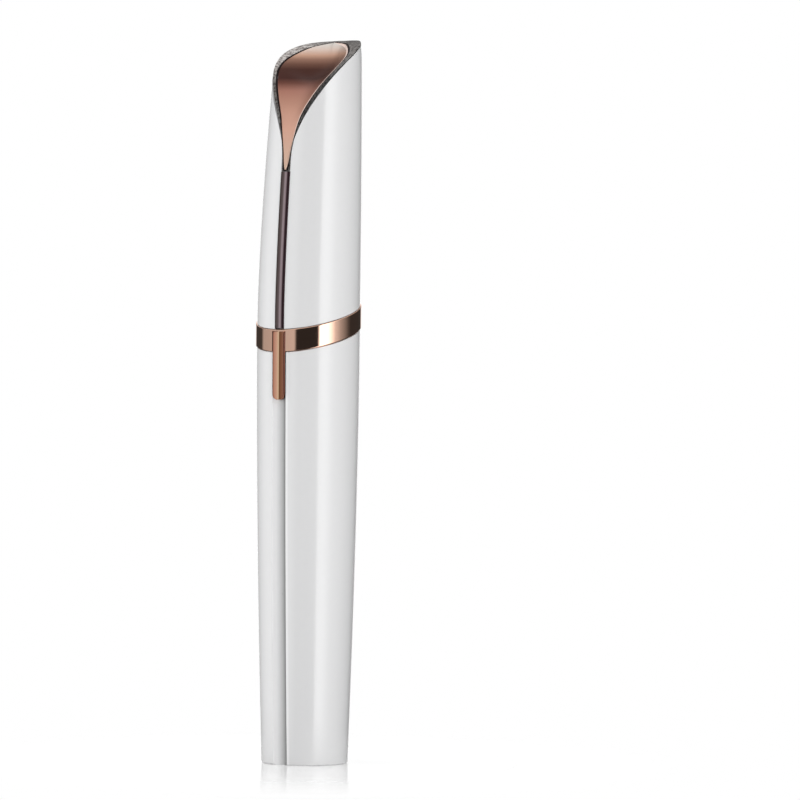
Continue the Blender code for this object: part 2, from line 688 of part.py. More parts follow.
def handle_pieces():
    rows = 8
    outer = []
    inner = []
    for row in range(rows + 1):
        share = row / rows
        slope = PARTING_SLOPE_SHARE * max(2 * share - 1, 0.0)
        height = BASE_EDGE_RADIUS + (HANDLE_LENGTH - BASE_EDGE_RADIUS) * share
        outer.append(round_ring(handle_radius, height, slope))
        height = HANDLE_FLOOR + (HANDLE_LENGTH - HANDLE_FLOOR) * share
        inner.append(round_ring(lambda z: handle_radius(z) - HANDLE_WALL, height, slope))
    foot = round_ring(lambda z: handle_radius(z) - BASE_EDGE_RADIUS, 0.0)
    opening = [round_ring(lambda z: DOOR_OPENING_RADIUS, z) for z in (HANDLE_FLOOR, 0.0)]
    shell = loft("handle_shell", [foot, *outer, *reversed(inner), *opening], "white_gloss", tube=True)
    half = SWITCH_WIDTH / 2 + SWITCH_GAP
    pocket_low = SWITCH_TOP - SWITCH_LENGTH - SWITCH_TRAVEL - SWITCH_GAP
    pocket_high = SWITCH_TOP + CUT_OVERRUN
    pocket = strip(
        "switch_pocket_cutter",
        handle_front,
        pocket_low,
        pocket_high,
        lambda z: (half, SWITCH_DEPTH + SWITCH_GAP, CUT_OVERRUN, CUT_OVERRUN),
    )
    groove = strip(
        "groove_cutter",
        handle_front,
        -CUT_OVERRUN,
        pocket_low + SWITCH_TRAVEL,
        lambda z: (GROOVE_WIDTH / 2, GROOVE_DEPTH, CUT_OVERRUN, CUT_OVERRUN),
    )
    stem_half = STEM_WIDTH / 2 + SWITCH_GAP
    stem_low = STEM_MIDDLE - STEM_HEIGHT / 2 - SWITCH_TRAVEL - SWITCH_GAP
    stem_high = STEM_MIDDLE + STEM_HEIGHT / 2 + SWITCH_GAP
    slot_back = SWITCH_FRONT + HANDLE_WALL + CUT_OVERRUN
    slot = block("stem_slot_cutter", (-stem_half, SWITCH_FRONT, stem_low), (stem_half, slot_back, stem_high))
    cut(shell, pocket, groove, slot)
    ring_inner = COLLAR_RADIUS + TRIM_GAP
    low = RING_BOTTOM + TRIM_GAP
    ring_outline = [
        (RING_RADIUS - RING_EDGE, low),
        (RING_RADIUS, low + RING_EDGE),
        (RING_RADIUS, RING_TOP - RING_EDGE),
        (RING_RADIUS - RING_EDGE, RING_TOP),
        (ring_inner, RING_TOP),
        (ring_inner, low),
    ]
    slopes = [PARTING_SLOPE_SHARE] * len(ring_outline)
    ring = turned("trim_ring", ring_outline, "rose_gold", LARGE_SIDES, slopes)
    cut(ring, pocket)
    collar_outline = [
        (COLLAR_RADIUS, COLLAR_BOTTOM),
        (COLLAR_RADIUS, COLLAR_TOP),
        (COLLAR_RADIUS - COLLAR_WALL, COLLAR_TOP),
        (COLLAR_RADIUS - COLLAR_WALL, COLLAR_BOTTOM),
    ]
    slopes = [PARTING_SLOPE_SHARE] * len(collar_outline)
    turned("neck_collar", collar_outline, "rose_gold", LARGE_SIDES, slopes)
    barrel_outline = [
        (BARREL_RADIUS, BARREL_BOTTOM),
        (BARREL_TOP_RADIUS, BARREL_TOP),
        (BARREL_TOP_RADIUS - BARREL_WALL, BARREL_TOP),
        (BARREL_RADIUS - BARREL_WALL, BARREL_BOTTOM),
    ]
    slopes = [PARTING_SLOPE_SHARE, 0.0, 0.0, PARTING_SLOPE_SHARE]
    turned("head_barrel", barrel_outline, "rose_gold", LARGE_SIDES, slopes)


def battery_pieces():
    turned(
        "battery",
        [
            (0, BATTERY_BOTTOM),
            (BATTERY_RADIUS - BATTERY_EDGE, BATTERY_BOTTOM),
            (BATTERY_RADIUS, BATTERY_BOTTOM + BATTERY_EDGE),
            (BATTERY_RADIUS, BATTERY_TOP - BATTERY_EDGE),
            (BATTERY_RADIUS - BATTERY_EDGE, BATTERY_TOP),
            (0, BATTERY_TOP),
        ],
        "battery_wrap",
    )
    cap_low = BATTERY_TOP + TRIM_GAP
    cap_high = cap_low + BATTERY_CAP_HEIGHT
    turned(
        "battery_cap",
        [
            (0, cap_low),
            (BATTERY_CAP_RADIUS, cap_low),
            (BATTERY_CAP_RADIUS, cap_high),
            (BATTERY_NUB_RADIUS, cap_high),
            (BATTERY_NUB_RADIUS, cap_high + BATTERY_NUB_HEIGHT),
            (0, cap_high + BATTERY_NUB_HEIGHT),
        ],
        "brass",
    )
    turned(
        "positive_contact",
        rod_outline(CONTACT_RADIUS, CONTACT_BOTTOM, CONTACT_TOP),
        "bright_steel",
    )
    tube = turned(
        "battery_tube",
        [
            (TUBE_OUTER_RADIUS, TUBE_BOTTOM),
            (TUBE_OUTER_RADIUS, TUBE_TOP),
            (TUBE_INNER_RADIUS, TUBE_TOP),
            (TUBE_INNER_RADIUS, TUBE_BOTTOM),
        ],
        "grey_plastic",
    )
    reach = handle_radius(TUBE_BOTTOM) - HANDLE_WALL - SEAT_GAP
    for fin in range(TUBE_FINS):
        half = TUBE_FIN_WIDTH / 2
        low = (TUBE_OUTER_RADIUS - TUBE_WALL / 2, -half, TUBE_BOTTOM + SEAT_GAP)
        high = (reach, half, TUBE_TOP - SEAT_GAP)
        join(tube, block(f"tube_fin_{fin + 1}", low, high, turn=2 * math.pi * fin / TUBE_FINS - math.pi / 2))
    half = STRIP_WIDTH / 2
    front = TUBE_OUTER_RADIUS + SEAT_GAP
    block(
        "negative_strip",
        (-half, front, TUBE_BOTTOM),
        (half, front + STRIP_THICKNESS, TUBE_TOP),
        "bright_steel",
    )


def board_pieces():
    """The carrier, the circuit board with its screws, and the body of the slide switch."""
    floor_radius = handle_radius(CARRIER_BOTTOM) - HANDLE_WALL - SEAT_GAP
    carrier = turned(
        "board_carrier",
        [
            (0, CARRIER_BOTTOM),
            (floor_radius, CARRIER_BOTTOM),
            (floor_radius, CARRIER_FLOOR_TOP),
            (0, CARRIER_FLOOR_TOP),
        ],
        "grey_plastic",
    )
    half = CARRIER_WIDTH / 2
    spine_low = (-half, CARRIER_FRONT, CARRIER_BOTTOM + CARRIER_FLOOR / 2)
    spine = block("carrier_spine", spine_low, (half, CARRIER_BACK, CARRIER_TOP))
    join(carrier, spine)
    wire_hole = WIRE_RADIUS + SEAT_GAP
    hole_outline = rod_outline(wire_hole, CARRIER_BOTTOM - SEAT_GAP, BOARD_BOTTOM)
    hole = turned("wire_hole_cutter", hole_outline, sides=FINE_SIDES)
    hole.location = (WIRE_HOLE_X, WIRE_HOLE_Y, 0)
    cut(carrier, hole)
    half = BOARD_WIDTH / 2
    board_low = (-half, BOARD_FRONT, BOARD_BOTTOM)
    board = block("circuit_board", board_low, (half, BOARD_BACK, BOARD_TOP), "board_green")
    half = SWITCH_BODY_WIDTH / 2
    head_back = BOARD_FRONT - TRIM_GAP
    block(
        "slide_switch_body",
        (-half, SWITCH_BODY_FRONT, SWITCH_BODY_BOTTOM),
        (half, head_back, SWITCH_BODY_TOP),
        "black_plastic",
    )
    for name, side in (("board_screw_left", -1), ("board_screw_right", 1)):
        hole_radius = SCREW_RADIUS + SCREW_HOLE_GAP
        outline = rod_outline(hole_radius, -SCREW_HEAD_HEIGHT, SCREW_LENGTH + SEAT_GAP + TRIM_GAP)
        hole = turned(f"{name}_hole_cutter", outline, sides=FINE_SIDES)
        screw = turned(
            name,
            [
                (0, -SCREW_HEAD_HEIGHT),
                (SCREW_HEAD_RADIUS, -SCREW_HEAD_HEIGHT),
                (SCREW_HEAD_RADIUS, 0),
                (SCREW_RADIUS, 0),
                (SCREW_RADIUS, SCREW_LENGTH),
                (0, SCREW_LENGTH),
            ],
            "bright_steel",
            FINE_SIDES,
        )
        for piece in (screw, hole):
            piece.rotation_euler = (-math.pi / 2, 0, 0)
            piece.location = (side * SCREW_SPREAD, head_back, SWITCH_BODY_TOP + SCREW_RISE)
        cut(board, hole)
        cut(carrier, hole)


def rod_outline(radius, low, high):
    return [(0, low), (radius, low), (radius, high), (0, high)]


def motor_pieces():
    turned(
        "motor_can",
        [
            (0, MOTOR_BOTTOM),
            (MOTOR_RADIUS, MOTOR_BOTTOM),
            (MOTOR_RADIUS, MOTOR_TOP),
            (MOTOR_BOSS_RADIUS, MOTOR_TOP),
            (MOTOR_BOSS_RADIUS, MOTOR_TOP + MOTOR_BOSS_HEIGHT),
            (0, MOTOR_TOP + MOTOR_BOSS_HEIGHT),
        ],
        "bright_steel",
    )
    turned(
        "motor_end_cap",
        rod_outline(END_CAP_RADIUS, END_CAP_BOTTOM, END_CAP_BOTTOM + END_CAP_HEIGHT),
        "black_plastic",
    )
    half = TERMINAL_WIDTH / 2
    for name, side in (("motor_terminal_left", -1), ("motor_terminal_right", 1)):
        x = side * TERMINAL_SPREAD
        low = (x - half, -TERMINAL_THICKNESS / 2, TERMINAL_BOTTOM)
        high = (x + half, TERMINAL_THICKNESS / 2, TERMINAL_BOTTOM + TERMINAL_LENGTH)
        block(name, low, high, "brass")
    flange = COLLAR_RADIUS - COLLAR_WALL - SEAT_GAP
    cradle_low = END_CAP_BOTTOM
    flange_top = cradle_low + CRADLE_WALL
    cradle_top = MOTOR_TOP - CRADLE_WALL
    turned(
        "motor_cradle",
        [
            (flange, cradle_low),
            (flange, flange_top),
            (CRADLE_OUTER_RADIUS, flange_top),
            (CRADLE_OUTER_RADIUS, cradle_top),
            (CRADLE_INNER_RADIUS, cradle_top),
            (CRADLE_INNER_RADIUS, cradle_low),
        ],
        "grey_plastic",
    )


def rotor_pieces():
    bore = SHAFT_RADIUS + DRIVE_GAP
    shaft_outline = rod_outline(SHAFT_RADIUS, SHAFT_BOTTOM, SHAFT_TOP)
    shaft = turned("motor_shaft", shaft_outline, "bright_steel", FINE_SIDES)
    coupling = turned(
        "drive_coupling",
        [
            (COUPLING_RADIUS, COUPLING_BOTTOM),
            (COUPLING_RADIUS, COUPLING_TOP),
            (bore, COUPLING_TOP),
            (bore, COUPLING_BOTTOM),
        ],
        "black_plastic",
        FINE_SIDES,
    )
    spindle_outline = rod_outline(SHAFT_RADIUS, SPINDLE_BOTTOM, SPINDLE_TOP)
    spindle = turned("cutter_spindle", spindle_outline, "bright_steel", FINE_SIDES)
    blades_outline = rod_outline(SHAFT_RADIUS, BLADE_BOTTOM, BLADE_TOP)
    blades = turned("cutter_blades", blades_outline, "bright_steel", FINE_SIDES)
    half = BLADE_WIDTH / 2
    for index in range(BLADE_COUNT):
        low = (0, -half, BLADE_BOTTOM + TRIM_GAP)
        high = (BLADE_RADIUS, half, BLADE_TOP - TRIM_GAP)
        join(blades, block(f"blade_{index + 1}", low, high, turn=2 * math.pi * index / BLADE_COUNT))
    return [shaft, coupling, spindle, blades]


def cover_radius(z):
    share = (z - COVER_BOTTOM) / COVER_HEIGHT
    return BARREL_TOP_RADIUS - (BARREL_TOP_RADIUS - COVER_TOP_RADIUS) * share**COVER_BEND_SHARE


def cover_inside(z):
    return cover_radius(z) - COVER_WALL


def head_pieces():
    rows = 3
    levels = [COVER_BOTTOM + COVER_HEIGHT * row / rows for row in range(rows + 1)]
    web_inner = BUSH_RADIUS + TRIM_GAP
    spigot_outer = BARREL_TOP_RADIUS - BARREL_WALL - SEAT_GAP
    spigot_inner = spigot_outer - SPIGOT_WALL
    cover = turned(
        "head_cover",
        [
            *[(cover_radius(z), z) for z in levels],
            (cover_inside(COVER_TOP), COVER_TOP),
            (cover_inside(WEB_TOP), WEB_TOP),
            (web_inner, WEB_TOP),
            (web_inner, WEB_BOTTOM),
            (min(cover_inside(WEB_BOTTOM), spigot_inner), WEB_BOTTOM),
            (spigot_inner, COVER_BOTTOM),
            (spigot_inner, BARREL_TOP - SPIGOT_LENGTH),
            (spigot_outer, BARREL_TOP - SPIGOT_LENGTH),
            (spigot_outer, COVER_BOTTOM),
        ],
        "rose_gold",
        LARGE_SIDES,
    )
    bush_middle = (WEB_BOTTOM + WEB_TOP) / 2
    bore = SHAFT_RADIUS + DRIVE_GAP
    bush = turned(
        "spindle_bush",
        [
            (BUSH_RADIUS, bush_middle - BUSH_LENGTH / 2),
            (BUSH_RADIUS, bush_middle + BUSH_LENGTH / 2),
            (bore, bush_middle + BUSH_LENGTH / 2),
            (bore, bush_middle - BUSH_LENGTH / 2),
        ],
        "brass",
        FINE_SIDES,
    )
    board_low = WEB_TOP + TRIM_GAP
    board_high = board_low + LIGHT_BOARD_THICKNESS
    board_inner = BUSH_RADIUS + SEAT_GAP
    board = turned(
        "light_board",
        [
            (LIGHT_BOARD_RADIUS, board_low),
            (LIGHT_BOARD_RADIUS, board_high),
            (board_inner, board_high),
            (board_inner, board_low),
        ],
        "board_green",
    )
    half = LED_WIDTH / 2
    led_middle = -(LIGHT_BOARD_RADIUS + board_inner) / 2
    led_bottom = board_high + TRIM_GAP
    led_high = (half, led_middle + half, led_bottom + LED_HEIGHT)
    led = block("light", (-half, led_middle - half, led_bottom), led_high, "frosted_lens")
    lens_inner = LENS_TOP_RADIUS - LENS_WALL
    lens = turned(
        "lens_ring",
        [
            (LENS_RADIUS, LENS_BOTTOM),
            ((LENS_RADIUS + LENS_TOP_RADIUS) / 2 + TRIM_GAP, (LENS_BOTTOM + LENS_TOP) / 2),
            (LENS_TOP_RADIUS, LENS_TOP),
            (lens_inner, LENS_TOP),
            (LENS_RADIUS - LENS_WALL, LENS_BOTTOM),
        ],
        "frosted_lens",
        LARGE_SIDES,
    )
    skirt_outer = lens_inner - SEAT_GAP
    skirt_inner = skirt_outer - TIP_WALL
    shoulder = TIP_TOP_RADIUS + TIP_EDGE
    tip = turned(
        "tip_guard",
        [
            (skirt_outer, TIP_BOTTOM - TIP_SKIRT),
            (skirt_outer, TIP_BOTTOM),
            (TIP_RADIUS, TIP_BOTTOM),
            (shoulder, TIP_TOP - TIP_EDGE),
            (TIP_TOP_RADIUS, TIP_TOP),
            (TIP_EYE_RADIUS, TIP_TOP),
            (TIP_EYE_RADIUS, TIP_TOP - TIP_WALL),
            (TIP_TOP_RADIUS - TIP_EDGE / 2, TIP_TOP - TIP_WALL),
            (skirt_inner, TIP_BOTTOM),
            (skirt_inner, TIP_BOTTOM - TIP_SKIRT),
        ],
        "blush_metal",
        TIP_SLOTS * 3,
    )
    half = TIP_SLOT_WIDTH / 2
    for index in range(TIP_SLOTS):
        low = (TIP_EYE_RADIUS + TIP_EDGE, -half, TIP_TOP - TIP_SLOT_DEPTH)
        slot = block(
            f"tip_slot_cutter_{index + 1}",
            low,
            (TIP_RADIUS + CUT_OVERRUN, half, TIP_TOP + CUT_OVERRUN),
            turn=2 * math.pi * (index + 1 / 4) / TIP_SLOTS,
        )
        cut(tip, slot)
    return [cover, bush, board, led, lens, tip]


def switch_pieces():
    low = SWITCH_TOP - SWITCH_LENGTH
    half = SWITCH_WIDTH / 2

    def section(z):
        tail = min((z - low) / SWITCH_TAIL, 1.0)
        width = half * (TAIL_WIDTH_SHARE + (1 - TAIL_WIDTH_SHARE) * tail)
        return width, SWITCH_DEPTH, SWITCH_EDGE_PROUD * tail, SWITCH_CREASE_PROUD * tail

    knob = strip("switch_knob", handle_front, low, SWITCH_TOP, section, "rose_gold", rows=18)
    stem_half = STEM_WIDTH / 2
    stem_back = -handle_radius(STEM_MIDDLE) + HANDLE_WALL + SEAT_GAP
    stem = block(
        "switch_stem",
        (-stem_half, SWITCH_FRONT, STEM_MIDDLE - STEM_HEIGHT / 2),
        (stem_half, stem_back, STEM_MIDDLE + STEM_HEIGHT / 2),
    )
    join(knob, stem)
    half = SLIDER_WIDTH / 2
    slider = block(
        "switch_slider",
        (-half, stem_back + TRIM_GAP, STEM_MIDDLE - STEM_HEIGHT / 2),
        (half, SWITCH_BODY_FRONT - SEAT_GAP, STEM_MIDDLE + STEM_HEIGHT / 2),
        "black_plastic",
    )
    return [knob, slider]


def door_pieces():
    outline = [
        (DOOR_RADIUS, 0),
        (DOOR_RADIUS, DOOR_FLANGE),
        (DOOR_PLUG_RADIUS, DOOR_FLANGE),
        (DOOR_PLUG_RADIUS, DOOR_HEIGHT),
    ]
    rings = [round_ring(lambda z, r=radius: r, height) for radius, height in outline]
    door = loft("battery_door", rings, "white_gloss")
    half = NOTCH_WIDTH / 2
    for index in range(2):
        low = (NOTCH_START, -half, -CUT_OVERRUN)
        high = (NOTCH_START + NOTCH_LENGTH, half, NOTCH_DEPTH)
        cut(door, block(f"notch_cutter_{index + 1}", low, high, turn=math.pi * index))
    seal_radius = DOOR_PLUG_RADIUS + TRIM_GAP / 2 + SEAL_WIRE
    seal_height = DOOR_FLANGE + TRIM_GAP / 2 + SEAL_WIRE
    corners = 6
    angles = [2 * math.pi * corner / corners for corner in range(corners)]
    outline = [(seal_radius + SEAL_WIRE * math.cos(a), seal_height + SEAL_WIRE * math.sin(a)) for a in angles]
    seal = turned("door_seal", outline, "seal_rubber")
    points = []
    steps = SPRING_TURNS * SPRING_STEPS
    low = DOOR_HEIGHT + SEAT_GAP + SPRING_WIRE
    high = BATTERY_BOTTOM - SEAT_GAP - SPRING_WIRE
    for step in range(steps + 1):
        share = step / steps
        angle = 2 * math.pi * SPRING_TURNS * share
        radius = SPRING_RADIUS + (SPRING_TOP_RADIUS - SPRING_RADIUS) * share
        points.append((radius * math.cos(angle), radius * math.sin(angle), low + (high - low) * share))
    spring = wire("battery_spring", points, SPRING_WIRE, "bright_steel", bevel=1)
    return [door, seal, spring]


def wire(name, points, radius, finish, bevel=2):
    curve = bpy.data.curves.new(name, "CURVE")
    curve.dimensions = "3D"
    curve.bevel_depth = radius
    curve.bevel_resolution = bevel
    curve.use_fill_caps = True
    spline = curve.splines.new("POLY")
    spline.points.add(len(points) - 1)
    for corner, point in zip(spline.points, points):
        corner.co = (*point, 1)
    curve.materials.append(material(finish))
    made = bpy.data.objects.new(name, curve)
    bpy.context.scene.collection.objects.link(made)
    return made


def wire_pieces():
    behind = CARRIER_BACK + SEAT_GAP + WIRE_RADIUS
    foot = (WIRE_HOLE_X, WIRE_HOLE_Y, CONTACT_TOP + SEAT_GAP)
    clear = Vector((WIRE_HOLE_X, WIRE_HOLE_Y, CARRIER_FLOOR_TOP + CARRIER_FLOOR))
    landing = Vector((WIRE_HOLE_X, behind, CARRIER_FLOOR_TOP + 3 * CARRIER_FLOOR))
    rise = Vector((0, 0, CARRIER_FLOOR))
    bend = interpolate_bezier(clear, clear + rise, landing - rise, landing, WIRE_STEPS)
    wire("battery_wire", [foot, *bend], WIRE_RADIUS, "red_wire")
    for name, side, finish in (("motor_wire_red", 1, "red_wire"), ("motor_wire_black", -1, "black_wire")):
        start = Vector((side * MOTOR_WIRE_X, behind, SWITCH_BODY_TOP))
        end = Vector((side * TERMINAL_SPREAD, 0, TERMINAL_BOTTOM - SEAT_GAP))
        lift = Vector((0, 0, (end.z - start.z) / 3))
        bend = interpolate_bezier(start, start + lift, end - lift, end, WIRE_STEPS + 2)
        wire(name, bend, WIRE_RADIUS, finish)


def carry(name, position, pieces):
    """An empty on a joint's axis that its moving pieces hang from."""
    axis = bpy.data.objects.new(name, None)
    axis.location = position
    bpy.context.scene.collection.objects.link(axis)
    for piece in pieces:
        piece.parent = axis
        piece.location -= axis.location


def main():
    clear_scene()
    handle_pieces()
    battery_pieces()
    board_pieces()
    motor_pieces()
    wire_pieces()
    carry("cap_axis", (0, 0, CAP_BOTTOM), cap_pieces())
    carry("switch_axis", (0, SWITCH_FRONT, STEM_MIDDLE), switch_pieces())
    carry("rotor_axis", (0, 0, SHAFT_BOTTOM), rotor_pieces())
    carry("head_axis", (0, 0, COVER_BOTTOM), head_pieces())
    carry("door_axis", (0, 0, 0), door_pieces())


main()
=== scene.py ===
"""The looks of an electric eyebrow trimmer: white shells, rose gold trim and a scooped cap. Metres, +Z up."""

import json
import math

import bmesh
import bpy
import numpy as np
from mathutils import Matrix, Vector


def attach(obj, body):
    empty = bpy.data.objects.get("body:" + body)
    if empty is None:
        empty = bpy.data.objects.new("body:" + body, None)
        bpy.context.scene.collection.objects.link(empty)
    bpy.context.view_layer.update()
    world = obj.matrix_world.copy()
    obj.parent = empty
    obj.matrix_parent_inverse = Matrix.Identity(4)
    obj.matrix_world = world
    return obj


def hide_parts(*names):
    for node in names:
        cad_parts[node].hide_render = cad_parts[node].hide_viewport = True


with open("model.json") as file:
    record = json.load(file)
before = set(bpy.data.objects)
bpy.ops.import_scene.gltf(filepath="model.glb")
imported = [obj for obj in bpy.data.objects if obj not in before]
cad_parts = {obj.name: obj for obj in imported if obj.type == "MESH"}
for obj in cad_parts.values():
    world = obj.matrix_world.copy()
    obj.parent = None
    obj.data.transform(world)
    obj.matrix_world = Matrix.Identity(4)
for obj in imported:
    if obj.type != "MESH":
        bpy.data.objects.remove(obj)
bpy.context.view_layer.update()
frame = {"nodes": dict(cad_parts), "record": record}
nodes_of_body = frame["record"]["behaviour"]["bodies"]
body_of_node = {node: body for body, nodes in nodes_of_body.items() for node in nodes}
slot_of_node = {part["node"]: part["material_slot"] for part in frame["record"]["subparts"]}

# The photograph's view: its width, metres to a pixel, and where the object's axis and foot lie in it
PHOTO_SIZE = 800
PIXEL = 0.00020767
VIEW_TURN = math.radians(33.2)
VIEW_DISTANCE = 0.884
VIEW_LENS = 191.5
AXIS_PIXEL = 307.9
FLOOR_PIXEL = 763.3
VIEW_ROLL = math.radians(0.55)
CAMERA_ANGLE = VIEW_TURN - math.pi / 2
NEAREST_SEEN = 0.01

# The floor, which fades out between two distances from the object
FLOOR_HALF = 3.0
FLOOR_DROP = 0.00002
FLOOR_SOLID = 0.011
FLOOR_END = 0.085
FLOOR_TONE = 0.90
FLOOR_ROUGHNESS = 0.14
FLOOR_SHINE = 0.25
FLOOR_GLOW = 0.14

# The sky takes over from the studio's panels between two heights, as shares of the way straight up
SKY_START_SHARE = 0.45
SKY_END_SHARE = 0.75
SKY_LEVEL = 0.85

# The studio's panels: degrees from the camera towards its right, and how bright it is there
PANELS = (
    (-180, 1.05),
    (-166, 1.05),
    (-158, 0.05),
    (-122, 0.06),
    (-114, 0.5),
    (-30, 0.66),
    (-25, 0.03),
    (22, 0.03),
    (27, 2.7),
    (42, 2.7),
    (62, 0.85),
    (76, 0.45),
    (98, 0.1),
    (106, 0.04),
    (158, 0.04),
    (166, 1.05),
    (180, 1.05),
)

# Lamps: degrees from the camera towards its right, height, distance and power
LAMP_WIDTH = 0.3
LAMP_HEIGHT = 0.5
LAMPS = {
    "left_key": (-94, 0.09, 0.6, 2.15),
    "front_fill": (-12, 0.12, 0.9, 0.82),
}

# How finely the shapes are divided
SHELL_SIDES = 224
SMALL_SIDES = 96
ROW_STEP = 0.0016
STRIP_ROWS = 60
SWITCH_ROWS = 120
COVER_ROWS = 20
COVER_SPREAD_SHARE = 1.5
ARCH_STEPS = 10
BASE_STEPS = 5
ROUND_STEPS = 4
TIP_ROUND_STEPS = 3
CUT_ROUNDS = 6
MERGE_DISTANCE = 1e-7
# A rounded corner takes up to this share of an edge, and a point beside it keeps the face next to it flat
CORNER_SHARE = 0.4
SUPPORT_SHARE = 1.15

# Clearances
GAP = 0.0001
RIM_GAP = 0.0002
SEAT_GAP = 0.0003
CUT_OVERRUN = 0.003

# Handle
HANDLE_LENGTH = 0.0884
HANDLE_TOP_RADIUS = 0.01072
HANDLE_TAPER = 0.00175
HANDLE_TAPER_SHARE = 1.7
HANDLE_WALL = 0.0014
HANDLE_FLOOR = 0.0024
BASE_EDGE = 0.0004
DOOR_OPENING_RADIUS = 0.0070
GROOVE_WIDTH = 0.0033
GROOVE_DEPTH = 0.0008
CHANNEL_STEPS = 8

# Ring, collar and the cut between the shells, which climbs towards the back
PARTING_SLOPE = 0.318
RING_HEIGHT = 0.0047
RING_RADIUS = 0.01095
RING_EDGE = 0.00016
RING_GAP = 0.00022
COLLAR_RADIUS = 0.0092
COLLAR_WALL = 0.0011
COLLAR_DEPTH = 0.0020
COLLAR_RISE = 0.0073

# Cap
CAP_HEIGHT = 0.0576
CAP_MOUTH_RADIUS = 0.01068
CAP_TAPER = 0.00175
CAP_TAPER_SHARE = 1.6
CAP_LEAN = 0.0029
CAP_LEAN_SHARE = 1.35
CAP_TUCK = 0.0004
CAP_TUCK_HEIGHT = 0.005
CAP_WALL = 0.00065

# Scoop
SCOOP_START_SHARE = 0.513
SCOOP_FOOT = 0.0004
# Powers that shape how the scoop's edge climbs round the cap, and how its floor curves across
SCOOP_TURN_SHARE = 1.6
SCOOP_CURVE_SHARE = 0.29
SCOOP_FLOOR_SHARE = 1.25
NECK_HALF_WIDTH = 0.00112
RIM_WIDTH = 0.00125
RIM_BACK_WIDTH = 0.0031
NECK_RIM_WIDTH = 0.00098
# Shares of the half turn round the cap in which the land widens: at the neck, then behind
NECK_END_SHARE = 0.08
BACK_START_SHARE = 0.3
BACK_LENGTH_SHARE = 0.4
# How much less than the scoop's floor the land falls behind
LAND_LEVEL_SHARE = 0.68
# The land never takes more than this share of the way to the scoop's middle
LAND_SHARE = 0.72
# Near the middle the scoop's surface sinks straight down: how many times the drop that zone is wide
SIDEWAYS_SHARE = 3
RIM_THICKNESS = 0.0005
# The land's crown: its share of the rim's thickness, then points across it and their shares of the crown
CROWN_SHARE = 0.25
CROWN_SHARES = ((0.12, 0.7), (0.5, 1.0), (0.88, 0.7))
# The dark seam, a painted shadow in the gap beside the inlay, leaves the land at least a share of its width,
# and fills a share of the rim's depth
SEAM_WIDTH = 0.0004
SEAM_LAND_SHARE = 0.3
SEAM_FILL_SHARE = 0.7
INLAY_THICKNESS = 0.0003
INLAY_RECESS = 0.00008
SCOOP_WALL = 0.0006
# Rows across the scoop lie closer together near its neck, and the last one stops just short of the back
SCOOP_ROWS = 96
SCOOP_COLUMNS = 28
ROW_SPREAD_SHARE = 1.5
LAST_TURN = 0.997
# The lip beside the inlay's edge, pale on the right side as a painted highlight, and the most that it takes
# of half the inlay
LIP_WIDTH = 0.00036
LIP_SHARE = 0.1
# From this turn on, the scoop's floor rises to meet the land behind
CLOSING_TURN = 0.7
# Turn round the cap, depth as a share of its mouth radius, height as a share of the scoop's
SPINE_SHARES = (
    (0.0, -0.868, 0.0),
    (0.06, -0.76, 0.26),
    (0.17, -0.50, 0.494),
    (0.33, -0.11, 0.645),
    (0.5, 0.22, 0.708),
    (0.67, 0.48, 0.786),
    (0.84, 0.63, 0.874),
    (1.0, 0.70, 0.956),
)

# Stripe and switch
STRIPE_WIDTH = 0.0022
STRIPE_DEPTH = 0.0004
STRIPE_PROUD = 0.0003
STRIPE_END_GAP = 0.0002
SWITCH_WIDTH = 0.0030
SWITCH_LENGTH = 0.0140
SWITCH_TOP_DROP = 0.0004
SWITCH_CREASE_PROUD = 0.00005
SWITCH_EDGE_PROUD = 0.0003
SWITCH_TAIL = 0.0013
SWITCH_BEVEL = 0.0005
SWITCH_ROUND = 0.00018
SWITCH_END_SHARE = 0.35
SWITCH_GAP = 0.0002
STEM_WIDTH = 0.0012
STEM_HEIGHT = 0.0030
STEM_DROP = 0.0085

# Head
BARREL_RADIUS = 0.00875
BARREL_TOP_RADIUS = 0.0083
BARREL_WALL = 0.0008
BARREL_RISE = 0.0196
COVER_HEIGHT = 0.0074
COVER_TOP_RADIUS = 0.00655
COVER_BEND_SHARE = 0.6
COVER_WALL = 0.0008
SPIGOT_LENGTH = 0.0026
SPIGOT_WALL = 0.0007
LENS_HEIGHT = 0.0047
LENS_RADIUS = 0.0065
LENS_TOP_RADIUS = 0.00485
LENS_WALL = 0.0008
HEAD_EDGE = 0.0003
TIP_RADIUS = 0.0042
TIP_TOP_RADIUS = 0.0024
TIP_HEIGHT = 0.0042
TIP_WALL = 0.0005
TIP_EDGE = 0.0005
TIP_SKIRT = 0.0030
TIP_EYE_RADIUS = 0.0009
TIP_SLOTS = 14
TIP_SLOT_WIDTH = 0.0003
TIP_SLOT_DEPTH = 0.0018

# Two tones of the white shells
WHITE = (0.86, 0.86, 0.865)
DEEP_WHITE = (0.83, 0.83, 0.835)

